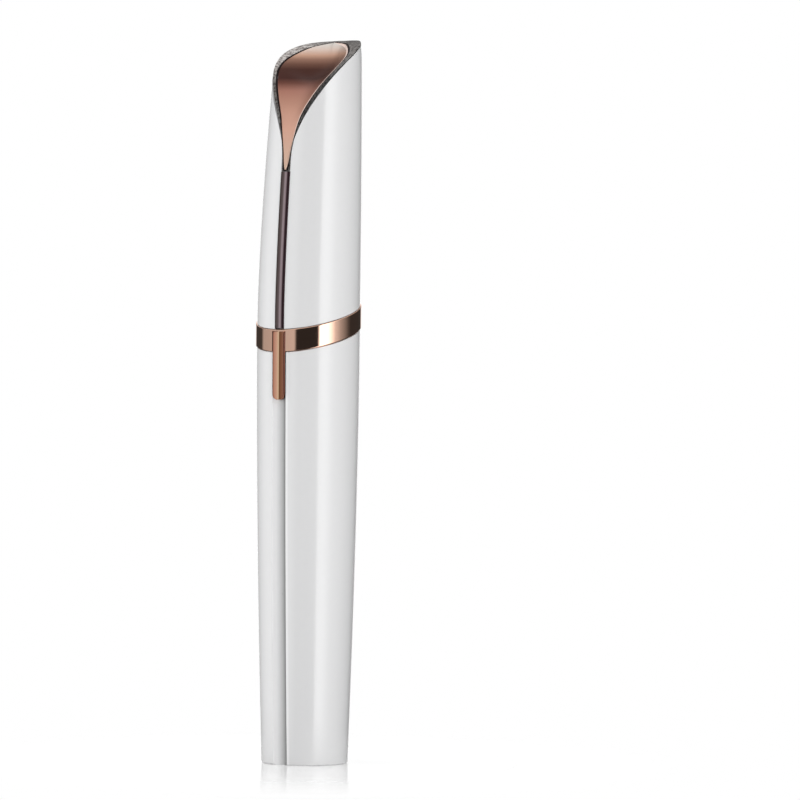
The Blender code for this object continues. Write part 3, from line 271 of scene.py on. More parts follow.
# Each finish: its colour, its deeper tone, its roughness, and where it differs from plain plastic
FINISHES = {
    "white_gloss": (WHITE, DEEP_WHITE, 0.16, {"bump": 0.01, "coat": 0.4}),
    # The handle's white, with a painted highlight line just right of the groove
    "handle_white_painted_highlight": (WHITE, DEEP_WHITE, 0.16, {"bump": 0.01, "coat": 0.4}),
    # The groove's white, with a painted highlight on its left slope and painted shade that deepens to its
    # right edge
    "groove_white_painted_shade_and_highlight": (WHITE, DEEP_WHITE, 0.3, {"bump": 0.01}),
    "rose_gold": ((0.86, 0.56, 0.43), (0.82, 0.52, 0.39), 0.07, {"metallic": 1.0, "bump": 0.004}),
    # The switch's gold, with painted reflections and painted shade across it
    "switch_gold_painted_reflection": ((0.86, 0.58, 0.45), (0.80, 0.52, 0.40), 0.18, {"metallic": 1.0, "bump": 0.01}),
    # The inlay's satin, which carries painted reflections up it
    "inlay_satin": (
        (0.80, 0.56, 0.46),
        (0.70, 0.46, 0.37),
        0.45,
        {"metallic": 0.75, "scale": 2600.0, "bump": 0.05},
    ),
    # A pale painted highlight for the lip along the inlay's right edge
    "lip_gold": (
        (1.0, 0.80, 0.72),
        (0.95, 0.74, 0.66),
        0.35,
        {"metallic": 0.1, "scale": 2600.0, "bump": 0.05},
    ),
    # The stripe's metal, which carries a painted highlight and painted shade across it
    "gun_metal": (
        (0.30, 0.25, 0.255),
        (0.24, 0.19, 0.20),
        0.3,
        {"metallic": 0.7, "scale": 1800.0, "bump": 0.04},
    ),
    # The rim's grain, which carries painted reflection and shade: darker low down, behind and on its right
    # side
    "grainy_taupe": (
        (0.76, 0.72, 0.69),
        (0.24, 0.21, 0.20),
        0.6,
        {"scale": 1750.0, "contrast": 4.6, "bump": 0.7, "specular": 0.1},
    ),
    "seam_shadow": ((0.022, 0.012, 0.012), (0.014, 0.008, 0.008), 0.6, {"bump": 0.05, "specular": 0.1}),
    "slot_shadow": ((0.10, 0.05, 0.07), (0.06, 0.03, 0.05), 0.5, {"metallic": 0.5, "bump": 0.1}),
    "frosted_lens": ((0.88, 0.89, 0.95), (0.80, 0.80, 0.90), 0.35, {"bump": 0.03, "coat": 0.3}),
    "blush_metal": ((0.82, 0.50, 0.54), (0.66, 0.38, 0.46), 0.16, {"metallic": 1.0, "bump": 0.03}),
    "bright_steel": (
        (0.66, 0.67, 0.69),
        (0.52, 0.53, 0.55),
        0.22,
        {"metallic": 1.0, "scale": 1500.0, "stretch": 0.05, "bump": 0.1},
    ),
    "brass": ((0.76, 0.56, 0.26), (0.64, 0.46, 0.20), 0.28, {"metallic": 1.0, "bump": 0.1}),
    "grey_plastic": ((0.44, 0.45, 0.47), (0.34, 0.35, 0.37), 0.5, {"bump": 0.2}),
    "black_plastic": ((0.035, 0.035, 0.04), (0.02, 0.02, 0.022), 0.45, {"bump": 0.2}),
    "board_green": ((0.03, 0.22, 0.10), (0.02, 0.15, 0.07), 0.35, {"bump": 0.05}),
    "battery_wrap": ((0.12, 0.13, 0.17), (0.08, 0.09, 0.12), 0.3, {"bump": 0.05, "coat": 0.4}),
    "red_wire": ((0.60, 0.04, 0.03), (0.45, 0.02, 0.02), 0.45, {"bump": 0.05}),
    "black_wire": ((0.03, 0.03, 0.03), (0.015, 0.015, 0.015), 0.45, {"bump": 0.05}),
    "seal_rubber": ((0.05, 0.05, 0.05), (0.03, 0.03, 0.03), 0.7, {"bump": 0.2}),
}
GLOSS_SPREAD_SHARE = 0.3
COAT_ROUGHNESS = 0.05
GRAIN_HEIGHT = 0.0001
LENS_GLOW = (0.62, 0.62, 1.0)
LENS_GLOW_STRENGTH = 0.28
LENS_TOP_GLOW_SHARE = 0.35

# Painted light and shade across the groove, switch and stripe in shares of their widths, up the inlay and the
# rim in shares of the scoop's height, and across the rim in shares of the cap's radius
# A painted highlight on the groove's left slope and painted shade that deepens to its right edge
GROOVE_PAINTED_SHADE_AND_HIGHLIGHT = ((-0.5, 1.16), (-0.28, 1.16), (-0.12, 0.98), (0.06, 0.68), (0.28, 0.36), (0.5, 0.12))
# A painted highlight line on the handle, just right of the groove
HANDLE_PAINTED_HIGHLIGHT = ((0.46, 1.0), (0.52, 1.17), (0.6, 1.15), (0.7, 1.0))
# Painted reflections across the switch: dark edges, a bright left flank, and a dark crease and right flank
SWITCH_PAINTED_REFLECTION = (
    (-0.5, (0.36, 0.20, 0.18)),
    (-0.42, (0.55, 0.34, 0.30)),
    (-0.34, (0.86, 0.62, 0.56)),
    (-0.12, (1.12, 0.98, 0.86)),
    (-0.03, (1.16, 1.25, 1.1)),
    (0.0, (0.95, 0.95, 0.75)),
    (0.035, (0.27, 0.16, 0.08)),
    (0.12, (0.36, 0.22, 0.14)),
    (0.42, (0.52, 0.34, 0.28)),
    (0.5, (0.34, 0.20, 0.20)),
)
# Painted reflections up the inlay: bright low down, a dark band high up, and a bright top
INLAY_PAINTED_REFLECTION = (
    (0.0, (1.22, 1.28, 1.22)),
    (0.30, (1.2, 1.02, 0.95)),
    (0.50, (0.80, 0.62, 0.56)),
    (0.595, (0.62, 0.42, 0.38)),
    (0.655, (0.24, 0.125, 0.105)),
    (0.695, (0.09, 0.036, 0.03)),
    (0.77, (0.105, 0.05, 0.04)),
    (0.81, (0.24, 0.16, 0.135)),
    (0.85, (0.48, 0.38, 0.33)),
    (0.885, (0.95, 0.85, 0.75)),
    (0.93, (1.18, 1.4, 1.5)),
    (1.0, (1.22, 1.85, 2.2)),
)
# Painted reflection across the stripe: a bright line just right of its middle, and dark sides
STRIPE_PAINTED_REFLECTION = (
    (-0.5, (0.16, 0.13, 0.12)),
    (-0.30, (0.32, 0.28, 0.26)),
    (-0.05, (0.55, 0.50, 0.48)),
    (0.10, (1.5, 1.45, 1.5)),
    (0.24, (1.2, 1.1, 1.15)),
    (0.32, (0.16, 0.10, 0.12)),
    (0.5, (0.13, 0.07, 0.09)),
)
# Painted reflection and shade on the rim: darker low down, behind and on the right side
RIM_PAINTED_SHADE = ((0.0, 0.2), (0.45, 0.25), (0.66, 0.30), (0.76, 0.75), (0.86, 1.0), (1.0, 1.0))
RIM_BACK_PAINTED_SHADE = ((0.0, 1.0), (0.62, 0.95), (0.86, 0.42), (1.1, 0.34))
RIM_SIDE_PAINTED_SHADE = ((-0.2, 1.0), (0.1, 0.9), (0.35, 0.4), (1.0, 0.36))

# Heights along the object, worked out from the sizes above
RING_BOTTOM = HANDLE_LENGTH
RING_TOP = RING_BOTTOM + RING_HEIGHT
CAP_BOTTOM = RING_TOP + GAP
CAP_TOP = CAP_BOTTOM + CAP_HEIGHT
COLLAR_TOP = RING_TOP + COLLAR_RISE
SCOOP_BOTTOM = RING_TOP + SCOOP_START_SHARE * CAP_HEIGHT
SCOOP_HEIGHT = (1 - SCOOP_START_SHARE) * CAP_HEIGHT
BARREL_TOP = COLLAR_TOP + BARREL_RISE
COVER_BOTTOM = BARREL_TOP + SEAT_GAP
COVER_TOP = COVER_BOTTOM + COVER_HEIGHT
LENS_BOTTOM = COVER_TOP + GAP
LENS_TOP = LENS_BOTTOM + LENS_HEIGHT
TIP_BOTTOM = LENS_TOP + GAP
TIP_TOP = TIP_BOTTOM + TIP_HEIGHT
SWITCH_TOP = RING_TOP - PARTING_SLOPE * HANDLE_TOP_RADIUS - SWITCH_TOP_DROP
STEM_MIDDLE = SWITCH_TOP - STEM_DROP

# Each band of painted light and shade: its finish, the axis it runs along, where its shares start there, and
# what they are shares of
PAINTED_LIGHT_BANDS = (
    ("groove_white_painted_shade_and_highlight", "X", 0.0, GROOVE_WIDTH, GROOVE_PAINTED_SHADE_AND_HIGHLIGHT),
    ("handle_white_painted_highlight", "X", 0.0, GROOVE_WIDTH, HANDLE_PAINTED_HIGHLIGHT),
    ("switch_gold_painted_reflection", "X", 0.0, SWITCH_WIDTH, SWITCH_PAINTED_REFLECTION),
    ("inlay_satin", "Z", SCOOP_BOTTOM, SCOOP_HEIGHT, INLAY_PAINTED_REFLECTION),
    ("gun_metal", "X", 0.0, STRIPE_WIDTH, STRIPE_PAINTED_REFLECTION),
    ("grainy_taupe", "Z", SCOOP_BOTTOM, SCOOP_HEIGHT, RIM_PAINTED_SHADE),
    ("grainy_taupe", "Y", 0.0, CAP_MOUTH_RADIUS, RIM_BACK_PAINTED_SHADE),
    ("grainy_taupe", "X", 0.0, CAP_MOUTH_RADIUS, RIM_SIDE_PAINTED_SHADE),
)


def handle_radius(z):
    share = min(max(1 - z / HANDLE_LENGTH, 0.0), 1.0)
    return HANDLE_TOP_RADIUS - HANDLE_TAPER * share**HANDLE_TAPER_SHARE


def cap_radius(z):
    share = max((z - CAP_BOTTOM) / CAP_HEIGHT, 0.0)
    tuck = max((z - CAP_TOP) / CAP_TUCK_HEIGHT + 1, 0.0)
    return CAP_MOUTH_RADIUS - CAP_TAPER * share**CAP_TAPER_SHARE - CAP_TUCK * tuck**2


def cap_shift(z):
    share = max((z - CAP_BOTTOM) / CAP_HEIGHT, 0.0)
    return CAP_LEAN * share**CAP_LEAN_SHARE


def cap_front(z):
    return cap_shift(z) - cap_radius(z)


def handle_front(z):
    return -handle_radius(z)


# Materials


def add(tree, kind, at, **settings):
    node = tree.nodes.new(kind)
    node.location = at
    for name, value in settings.items():
        setattr(node, name, value)
    return node


def grain_group():
    """Fine grain: a height for bump nodes, and a value round one half for colour and roughness."""
    tree = bpy.data.node_groups.new("fine_grain", "ShaderNodeTree")
    for name, value in (("Scale", 2000.0), ("Stretch", 1.0), ("Contrast", 0.5)):
        socket = tree.interface.new_socket(name, in_out="INPUT", socket_type="NodeSocketFloat")
        socket.default_value = value
    tree.interface.new_socket("Height", in_out="OUTPUT", socket_type="NodeSocketFloat")
    tree.interface.new_socket("Value", in_out="OUTPUT", socket_type="NodeSocketFloat")
    inside = add(tree, "NodeGroupInput", (-900, 0))
    outside = add(tree, "NodeGroupOutput", (500, 0))
    where = add(tree, "ShaderNodeTexCoord", (-900, 250))
    squeeze = add(tree, "ShaderNodeCombineXYZ", (-700, -100))
    squeeze.inputs[0].default_value = 1.0
    squeeze.inputs[1].default_value = 1.0
    stretched = add(tree, "ShaderNodeVectorMath", (-500, 150), operation="MULTIPLY")
    noise = add(tree, "ShaderNodeTexNoise", (-250, 100))
    noise.inputs["Detail"].default_value = 3.0
    spread = add(tree, "ShaderNodeMath", (0, 0), operation="SUBTRACT")
    spread.inputs[1].default_value = 0.5
    scaled = add(tree, "ShaderNodeMath", (150, 0), operation="MULTIPLY")
    centred = add(tree, "ShaderNodeMath", (300, 0), operation="ADD")
    centred.inputs[1].default_value = 0.5
    link = tree.links.new
    link(inside.outputs["Stretch"], squeeze.inputs[2])
    link(where.outputs["Object"], stretched.inputs[0])
    link(squeeze.outputs[0], stretched.inputs[1])
    link(stretched.outputs[0], noise.inputs["Vector"])
    link(inside.outputs["Scale"], noise.inputs["Scale"])
    link(noise.outputs["Fac"], spread.inputs[0])
    link(spread.outputs[0], scaled.inputs[0])
    link(inside.outputs["Contrast"], scaled.inputs[1])
    link(scaled.outputs[0], centred.inputs[0])
    link(noise.outputs["Fac"], outside.inputs["Height"])
    link(centred.outputs[0], outside.inputs["Value"])
    return tree


GRAIN = grain_group()


def finish(
    name,
    colour,
    deep,
    roughness,
    metallic=0.0,
    scale=900.0,
    stretch=1.0,
    contrast=0.6,
    bump=0.02,
    coat=0.0,
    specular=0.5,
):
    """A surface whose colour runs between two tones with a fine grain, which also breaks up its gloss."""
    made = bpy.data.materials.new(name)
    made.use_nodes = True
    tree = made.node_tree
    shader = tree.nodes["Principled BSDF"]
    shader.inputs["Metallic"].default_value = metallic
    shader.inputs["Specular IOR Level"].default_value = specular
    shader.inputs["Coat Weight"].default_value = coat
    shader.inputs["Coat Roughness"].default_value = COAT_ROUGHNESS
    texture = add(tree, "ShaderNodeGroup", (-900, 0), node_tree=GRAIN)
    texture.inputs["Scale"].default_value = scale
    texture.inputs["Stretch"].default_value = stretch
    texture.inputs["Contrast"].default_value = contrast
    tones = add(tree, "ShaderNodeMix", (-500, 150), data_type="RGBA")
    tones.inputs["A"].default_value = (*deep, 1.0)
    tones.inputs["B"].default_value = (*colour, 1.0)
    gloss = add(tree, "ShaderNodeMapRange", (-500, -100))
    gloss.inputs["To Min"].default_value = roughness * (1 - GLOSS_SPREAD_SHARE)
    gloss.inputs["To Max"].default_value = roughness * (1 + GLOSS_SPREAD_SHARE)
    relief = add(tree, "ShaderNodeBump", (-250, -300))
    relief.inputs["Strength"].default_value = bump
    relief.inputs["Distance"].default_value = GRAIN_HEIGHT
    link = tree.links.new
    link(texture.outputs["Value"], tones.inputs["Factor"])
    link(texture.outputs["Value"], gloss.inputs["Value"])
    link(texture.outputs["Height"], relief.inputs["Height"])
    link(tones.outputs["Result"], shader.inputs["Base Color"])
    link(gloss.outputs["Result"], shader.inputs["Roughness"])
    link(relief.outputs["Normal"], shader.inputs["Normal"])
    return made


def glow_lens(made):
    """Light from inside the lens, which fades from its bottom to its top."""
    tree = made.node_tree
    shader = tree.nodes["Principled BSDF"]
    where = add(tree, "ShaderNodeTexCoord", (-900, -600))
    split = add(tree, "ShaderNodeSeparateXYZ", (-700, -600))
    fade = add(tree, "ShaderNodeMapRange", (-500, -600))
    fade.inputs["From Min"].default_value = LENS_BOTTOM
    fade.inputs["From Max"].default_value = LENS_TOP
    tones = add(tree, "ShaderNodeMix", (-250, -600), data_type="RGBA")
    tones.inputs["A"].default_value = (*LENS_GLOW, 1.0)
    tones.inputs["B"].default_value = (*[LENS_TOP_GLOW_SHARE * part for part in LENS_GLOW], 1.0)
    link = tree.links.new
    link(where.outputs["Object"], split.inputs[0])
    link(split.outputs["Z"], fade.inputs["Value"])
    link(fade.outputs["Result"], tones.inputs["Factor"])
    link(tones.outputs["Result"], shader.inputs["Emission Color"])
    shader.inputs["Emission Strength"].default_value = LENS_GLOW_STRENGTH


def paint_light_along(made, axis, start, size, stops):
    """Painted light and shade that run along one axis of the object, over the surface's own tones."""
    tree = made.node_tree
    shader = tree.nodes["Principled BSDF"]
    own = shader.inputs["Base Color"].links[0].from_socket
    where = add(tree, "ShaderNodeTexCoord", (-900, 700))
    split = add(tree, "ShaderNodeSeparateXYZ", (-700, 700))
    share = add(tree, "ShaderNodeMapRange", (-500, 700))
    low = stops[0][0]
    high = stops[-1][0]
    share.inputs["From Min"].default_value = start + low * size
    share.inputs["From Max"].default_value = start + high * size
    painted = add(tree, "ShaderNodeMix", (-100, 400), data_type="RGBA", blend_type="MULTIPLY")
    painted.inputs["Factor"].default_value = 1.0
    ramp = colour_ramp(tree, [((stop - low) / (high - low), level) for stop, level in stops])
    link = tree.links.new
    link(where.outputs["Object"], split.inputs[0])
    link(split.outputs[axis], share.inputs["Value"])
    link(share.outputs["Result"], ramp.inputs["Fac"])
    link(own, painted.inputs["A"])
    link(ramp.outputs["Color"], painted.inputs["B"])
    link(painted.outputs["Result"], shader.inputs["Base Color"])


def colour_ramp(tree, stops):
    """Colours, or levels of grey, at stops from 0 to 1."""
    ramp = add(tree, "ShaderNodeValToRGB", (-300, 700))
    elements = ramp.color_ramp.elements
    while len(elements) > 1:
        elements.remove(elements[-1])
    for index, (stop, level) in enumerate(stops):
        element = elements[0] if index == 0 else elements.new(stop)
        element.position = stop
        element.color = (*(np.ones(3) * level), 1.0)
    return ramp


def make_finishes():
    made = {}
    for name, (colour, deep, roughness, settings) in FINISHES.items():
        made[name] = finish(name, colour, deep, roughness, **settings)
    for name, axis, start, size, stops in PAINTED_LIGHT_BANDS:
        paint_light_along(made[name], axis, start, size, stops)
    glow_lens(made["frosted_lens"])
    return made


FINISH = make_finishes()

# Meshes


def mesh_of(name, points, faces):
    built = bmesh.new()
    corners = [built.verts.new(point) for point in points]
    for face in faces:
        built.faces.new([corners[index] for index in face])
    bmesh.ops.remove_doubles(built, verts=built.verts, dist=MERGE_DISTANCE)
    bmesh.ops.recalc_face_normals(built, faces=built.faces)
    mesh = bpy.data.meshes.new(name)
    built.to_mesh(mesh)
    built.free()
    return mesh


def place(name, mesh, surface=None):
    made = bpy.data.objects.new(name, mesh)
    bpy.context.scene.collection.objects.link(made)
    if surface:
        mesh.materials.append(FINISH[surface])
    mesh.shade_smooth()
    return made


def ring_faces(count, pairs):
    """Faces between pairs of rings, each with this count of points."""
    faces = []
    for low, high in pairs:
        for here in range(count):
            ahead = (here + 1) % count
            faces.append((low * count + here, low * count + ahead, high * count + ahead, high * count + here))
    return faces


def loft(name, rings, surface=None, tube=False):
    """A solid through rings of points, closed over both ends, or a tube whose last ring joins its first."""
    count = len(rings[0])
    points = [point for ring in rings for point in ring]
    pairs = [(row, row + 1) for row in range(len(rings) - 1)]
    if tube:
        pairs.append((len(rings) - 1, 0))
    faces = ring_faces(count, pairs)
    if not tube:
        faces.append(tuple(reversed(range(count))))
        faces.append(tuple(range(len(points) - count, len(points))))
    return place(name, mesh_of(name, points, faces), surface)


def round_ring(radius_of, height, slope=0.0, shift_of=None, sides=SHELL_SIDES):
    """A ring on a slanted cut, where a point's height and its radius settle in a few rounds."""
    ring = []
    for step in range(sides):
        angle = 2 * math.pi * step / sides
        z = height
        for _ in range(CUT_ROUNDS):
            shift = shift_of(z) if shift_of else 0.0
            y = shift + radius_of(z) * math.sin(angle)
            z = height + slope * y
        ring.append((radius_of(z) * math.cos(angle), y, z))
    return ring


def make_turned(node, outline, surface, sharp, sides=SMALL_SIDES, slopes=None):
    """The finer piece for a node: a closed outline of (radius, height), turned about the axis."""
    piece = turned(f"{node}_fine", outline, surface, sides, slopes)
    stands_for(settle(piece, sharp=sharp), node)


def turned(name, outline, surface, sides, slopes=None):
    slopes = slopes or [0.0] * len(outline)
    rings = [
        round_ring(lambda z, r=radius: r, height, slope, sides=sides)
        for (radius, height), slope in zip(outline, slopes)
    ]
    return loft(name, rings, surface, tube=True)


def rounded(outline, radius, steps=ROUND_STEPS):
    """The closed outline with each corner turned into an arc of about this radius."""
    made = []
    count = len(outline)
    for index in range(count):
        corner = Vector(outline[index])
        before = Vector(outline[index - 1]) - corner
        after = Vector(outline[(index + 1) % count]) - corner
        reach = min(radius, before.length * CORNER_SHARE, after.length * CORNER_SHARE)
        start = corner + before.normalized() * reach
        end = corner + after.normalized() * reach
        made.append(tuple(corner + (start - corner) * SUPPORT_SHARE))
        for step in range(steps + 1):
            t = step / steps
            made.append(tuple(start * (1 - t) ** 2 + corner * 2 * t * (1 - t) + end * t * t))
        made.append(tuple(corner + (end - corner) * SUPPORT_SHARE))
    return made


def sleeve(outer, inner, low, high, edge):
    """The outline of a straight sleeve with rounded edges."""
    return rounded([(outer, low), (outer, high), (inner, high), (inner, low)], edge)


def strip(name, front_of, low, high, section_of, surface=None, rows=STRIP_ROWS):
    """A bar up the front. Its section at a height gives points of (across, out from the front)."""
    rings = []
    for row in range(rows + 1):
        z = low + (high - low) * row / rows
        front = front_of(z)
        rings.append([(x, front - y, z) for x, y in section_of(z)])
    return loft(name, rings, surface)


def block(name, low, high):
    (x0, y0, z0), (x1, y1, z1) = low, high
    flat = [(x0, y0), (x1, y0), (x1, y1), (x0, y1)]
    return loft(name, [[(x, y, z) for x, y in flat] for z in (z0, z1)])


def boolean(piece, other, operation="DIFFERENCE"):
    modifier = piece.modifiers.new("shape", "BOOLEAN")
    modifier.object = other
    modifier.operation = operation
    modifier.solver = "EXACT"
    modifier.material_mode = "TRANSFER" if other.data.materials else "INDEX"


def settle(piece, *helpers, sharp=30):
    """Applies the piece's modifiers, removes their helpers and marks its sharp edges."""
    graph = bpy.context.evaluated_depsgraph_get()
    mesh = bpy.data.meshes.new_from_object(piece.evaluated_get(graph))
    piece.modifiers.clear()
    piece.data = mesh
    for helper in helpers:
        bpy.data.objects.remove(helper, do_unlink=True)
    mesh.shade_smooth()
    mesh.set_sharp_from_angle(angle=math.radians(sharp))
    return piece


def stands_for(piece, node):
    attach(piece, body_of_node[node])
    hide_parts(node)


# Scoop


def ease(shares, turn):
    """The values of a table at a turn, on a smooth curve through its rows."""
    table = np.array(shares)
    slopes = np.gradient(table[:, 1:], table[:, 0], axis=0)
    row = min(int(np.searchsorted(table[:, 0], turn, side="right")) - 1, len(table) - 2)
    width = table[row + 1, 0] - table[row, 0]
    t = (turn - table[row, 0]) / width
    start = (2 * t**3 - 3 * t**2 + 1) * table[row, 1:] + (t**3 - 2 * t**2 + t) * width * slopes[row]
    end = (3 * t**2 - 2 * t**3) * table[row + 1, 1:] + (t**3 - t**2) * width * slopes[row + 1]
    return start + end


def rim_point(turn):
    """A point of the scoop's edge on the cap's right side, at a turn from 0, at the neck, to 1, behind."""
    neck = math.asin(NECK_HALF_WIDTH / cap_radius(SCOOP_BOTTOM))
    angle = neck + (math.pi - neck) * turn
    fall = ((1 + math.cos(angle)) / (1 + math.cos(neck))) ** SCOOP_TURN_SHARE
    z = SCOOP_BOTTOM + SCOOP_HEIGHT * (1 - fall) ** SCOOP_CURVE_SHARE
    radius = cap_radius(z)
    return Vector((radius * math.sin(angle), cap_shift(z) - radius * math.cos(angle), z))


def spine_point(turn):
    """A point of the scoop's floor, half way across."""
    depth, height = ease(SPINE_SHARES, turn)
    return Vector((0, depth * CAP_MOUTH_RADIUS, SCOOP_BOTTOM + height * SCOOP_HEIGHT))


def inlay_point(turn):
    """The edge of the inlay, inside the rim's land, which is narrow at the neck and wide behind."""
    back = min(max((turn - BACK_START_SHARE) / BACK_LENGTH_SHARE, 0.0), 1.0)
    back *= back * (3 - 2 * back)
    front = min(turn / NECK_END_SHARE, 1.0)
    width = NECK_RIM_WIDTH + (RIM_WIDTH - NECK_RIM_WIDTH) * front
    width += (RIM_BACK_WIDTH - width) * back
    edge = rim_point(turn)
    inward = spine_point(turn) - edge
    width = min(width, inward.length * LAND_SHARE)
    inward.z *= 1 - LAND_LEVEL_SHARE * back
    return edge + inward.normalized() * width


def scoop_row(turn):
    """Points across the scoop, from its outer edge on the left to the one on the right."""
    outer = rim_point(turn)
    edge = inlay_point(turn)
    closing = max((turn - CLOSING_TURN) / (1 - CLOSING_TURN), 0.0) ** 2
    spine = spine_point(turn) + (inlay_point(1.0) - spine_point(1.0)) * closing
    lip = 1 - min(LIP_WIDTH / max(edge.x, LIP_WIDTH), LIP_SHARE)
    inner = [lip * (2 * column / SCOOP_COLUMNS - 1) for column in range(SCOOP_COLUMNS + 1)]
    row = []
    for t in (-1, *inner, 1):
        middle = edge.lerp(spine, (1 - t * t) ** SCOOP_FLOOR_SHARE)
        row.append(Vector((edge.x * t, middle.y, middle.z)))
    return [Vector((-outer.x, outer.y, outer.z)), *row, outer]


def scoop_grid(drop):
    """Rows across the scoop from its foot up, sunk by a drop straight into its surface."""
    turns = [(row / SCOOP_ROWS) ** ROW_SPREAD_SHARE for row in range(SCOOP_ROWS)] + [LAST_TURN]
    rows = np.array([[list(point) for point in scoop_row(turn)] for turn in turns])
    foot = rows[:1] * np.array([1, 1, 0]) + np.array([0, 0, SCOOP_BOTTOM - SCOOP_FOOT])
    rows = np.concatenate([foot, rows])
    normals = np.cross(np.gradient(rows, axis=1), np.gradient(rows, axis=0))
    normals /= np.linalg.norm(normals, axis=2, keepdims=True)
    if drop > 0:
        normals[..., 0] *= np.clip(np.abs(rows[..., 0]) / (SIDEWAYS_SHARE * drop), 0, 1)
    return rows - drop * normals


def scoop_cutter(drop):
    """All that lies above the scoop's surface, which a skirt carries out past the cap, up to a flat lid."""
    grid = scoop_grid(drop)
    back = rim_point(1.0)
    back.z -= drop
    width = len(grid[0])
    rows = len(grid)
    points = [tuple(point) for row in grid for point in row] + [tuple(back)]
    apex = len(points) - 1
    faces = []
    for row in range(rows - 1):
        for column in range(width - 1):
            low = row * width + column
            faces.append((low, low + 1, low + width + 1, low + width))
    last = (rows - 1) * width
    faces += [(last + column, last + column + 1, apex) for column in range(width - 1)]
    edge = [row * width for row in range(rows)] + [apex]
    edge += [row * width + width - 1 for row in reversed(range(rows))]
    edge += list(reversed(range(1, width - 1)))
    reach = CAP_MOUTH_RADIUS + CUT_OVERRUN
    skirt = []
    for index in edge:
        x, y, z = points[index]
        scale = reach / math.hypot(x, y)
        skirt.append((x * scale, y * scale, z))
    count = len(edge)
    first_skirt = len(points)
    first_lid = first_skirt + count
    points += skirt
    points += [(x, y, CAP_TOP + 2 * CUT_OVERRUN) for x, y, _ in skirt]
    for here in range(count):
        ahead = (here + 1) % count
        faces.append((edge[here], edge[ahead], first_skirt + ahead, first_skirt + here))
        faces.append((first_skirt + here, first_skirt + ahead, first_lid + ahead, first_lid + here))
    faces.append(tuple(range(first_lid, first_lid + count)))
    return place("scoop_cutter", mesh_of("scoop_cutter", points, faces))


def cap_rings(inset, bottom, top):
    """Rings up the cap, inside its surface by an inset, which lie level from half way up."""
    rows = round((top - bottom) / ROW_STEP)
    rings = []
    for row in range(rows + 1):
        share = row / rows
        height = bottom + (top - bottom) * share
        slope = PARTING_SLOPE * max(1 - 2 * share, 0.0)
        rings.append(round_ring(lambda z: cap_radius(z) - inset, height, slope, cap_shift))
    return rings


def arch_section(half, depth, edge, ridge):
    """A bar's section with a rounded front."""
    angles = [math.pi * step / ARCH_STEPS for step in range(ARCH_STEPS + 1)]
    arch = [(half * math.cos(angle), edge + (ridge - edge) * math.sin(angle)) for angle in angles]
    return [(-half, -depth), (half, -depth), *arch]


def make_cap():
    """The hollow shell, cut by the scoop and by the stripe's groove, with stripe, rim and inlay."""
    shell = loft("cap_shell_fine", cap_rings(0, CAP_BOTTOM, CAP_TOP + CUT_OVERRUN), "white_gloss")
    cavity = loft("cavity_cutter", cap_rings(CAP_WALL, CAP_BOTTOM - CUT_OVERRUN, CAP_TOP + CUT_OVERRUN))
    roof = scoop_cutter(RIM_THICKNESS + SCOOP_WALL)
    boolean(cavity, roof)
    settle(cavity, roof)
    low = CAP_BOTTOM + PARTING_SLOPE * cap_front(CAP_BOTTOM) + STRIPE_END_GAP
    high = SCOOP_BOTTOM - SCOOP_FOOT - STRIPE_END_GAP / 4
    half = STRIPE_WIDTH / 2
    groove = strip(
        "groove_cutter",
        cap_front,
        low - CUT_OVERRUN,
        high + GAP,
        lambda z: arch_section(half + GAP / 2, STRIPE_DEPTH + GAP, CUT_OVERRUN, CUT_OVERRUN + GAP),
    )
    scoop = scoop_cutter(RIM_THICKNESS)
    for cutter in (scoop, cavity, groove):
        boolean(shell, cutter)
    settle(shell, scoop, cavity, groove)
    stands_for(shell, "cap_shell")
    stripe = strip(
        "cap_stripe_fine",
        cap_front,
        low,
        high,
        lambda z: arch_section(half, STRIPE_DEPTH, 0.0, STRIPE_PROUD),
        "gun_metal",
    )
    stands_for(settle(stripe, sharp=50), "cap_stripe")
    make_rim()
    make_inlay()


def make_rim():
    top = scoop_grid(0.0)
    low = scoop_grid(RIM_THICKNESS - RIM_GAP)
    inset = np.array([GAP / 2, 0, 0])
    middle = len(top[0]) // 2
    sections = [rim_section(top[0][middle], top[1][middle], low[1][middle], low[0][middle])]
    sections.append(rim_section(top[0][-1] - inset, top[1][-3], low[1][-3], low[0][-1] - inset))
    for upper, lower in zip(top[1:], low[1:]):
        sections.append(rim_section(upper[-1] - inset, upper[-2], lower[-2], lower[-1] - inset))
    crest = np.array(rim_point(1.0))
    land = np.array(inlay_point(1.0))
    drop = np.array([0, 0, RIM_THICKNESS - RIM_GAP])
    sections.append(rim_section(crest, land, land - drop, crest - drop))
    lands, seams = zip(*sections)
    rim = loft("scoop_rim_fine", round_scoop(lands), "grainy_taupe", tube=True)
    stands_for(settle(rim, sharp=40), "scoop_rim")
    # The seam is a dark strip of painted shadow in the gap beside the inlay
    seam = settle(loft("scoop_seam_shadow", round_scoop(seams), "seam_shadow", tube=True), sharp=40)
    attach(seam, "cap")


def rim_section(outer, inner, inner_low, outer_low):
    """Across the rim: its crowned land, with a small round on both edges, and the seam beside the inlay, a
    dark strip of painted shadow.
    """
    lift = (outer - outer_low) * CROWN_SHARE
    share = max(1 - SEAM_WIDTH / np.linalg.norm(inner - outer), SEAM_LAND_SHARE)
    edge = outer + (inner - outer) * share
    edge_low = outer_low + (inner_low - outer_low) * share
    crown = [outer + (edge - outer) * across + lift * height for across, height in CROWN_SHARES]
    land = [outer_low, outer, *crown, edge, edge_low]
    seam = [edge_low + (edge - edge_low) * SEAM_FILL_SHARE, inner, inner_low, edge_low]
    return land, seam


def round_scoop(sections):
    """Sections from the neck up the right side to the back, and down the left side again."""
    first, *right, last = sections
    mirror = np.array([-1, 1, 1])
    left = [[point * mirror for point in section] for section in reversed(right)]
    return [[tuple(point) for point in section] for section in [first, *right, last, *left]]


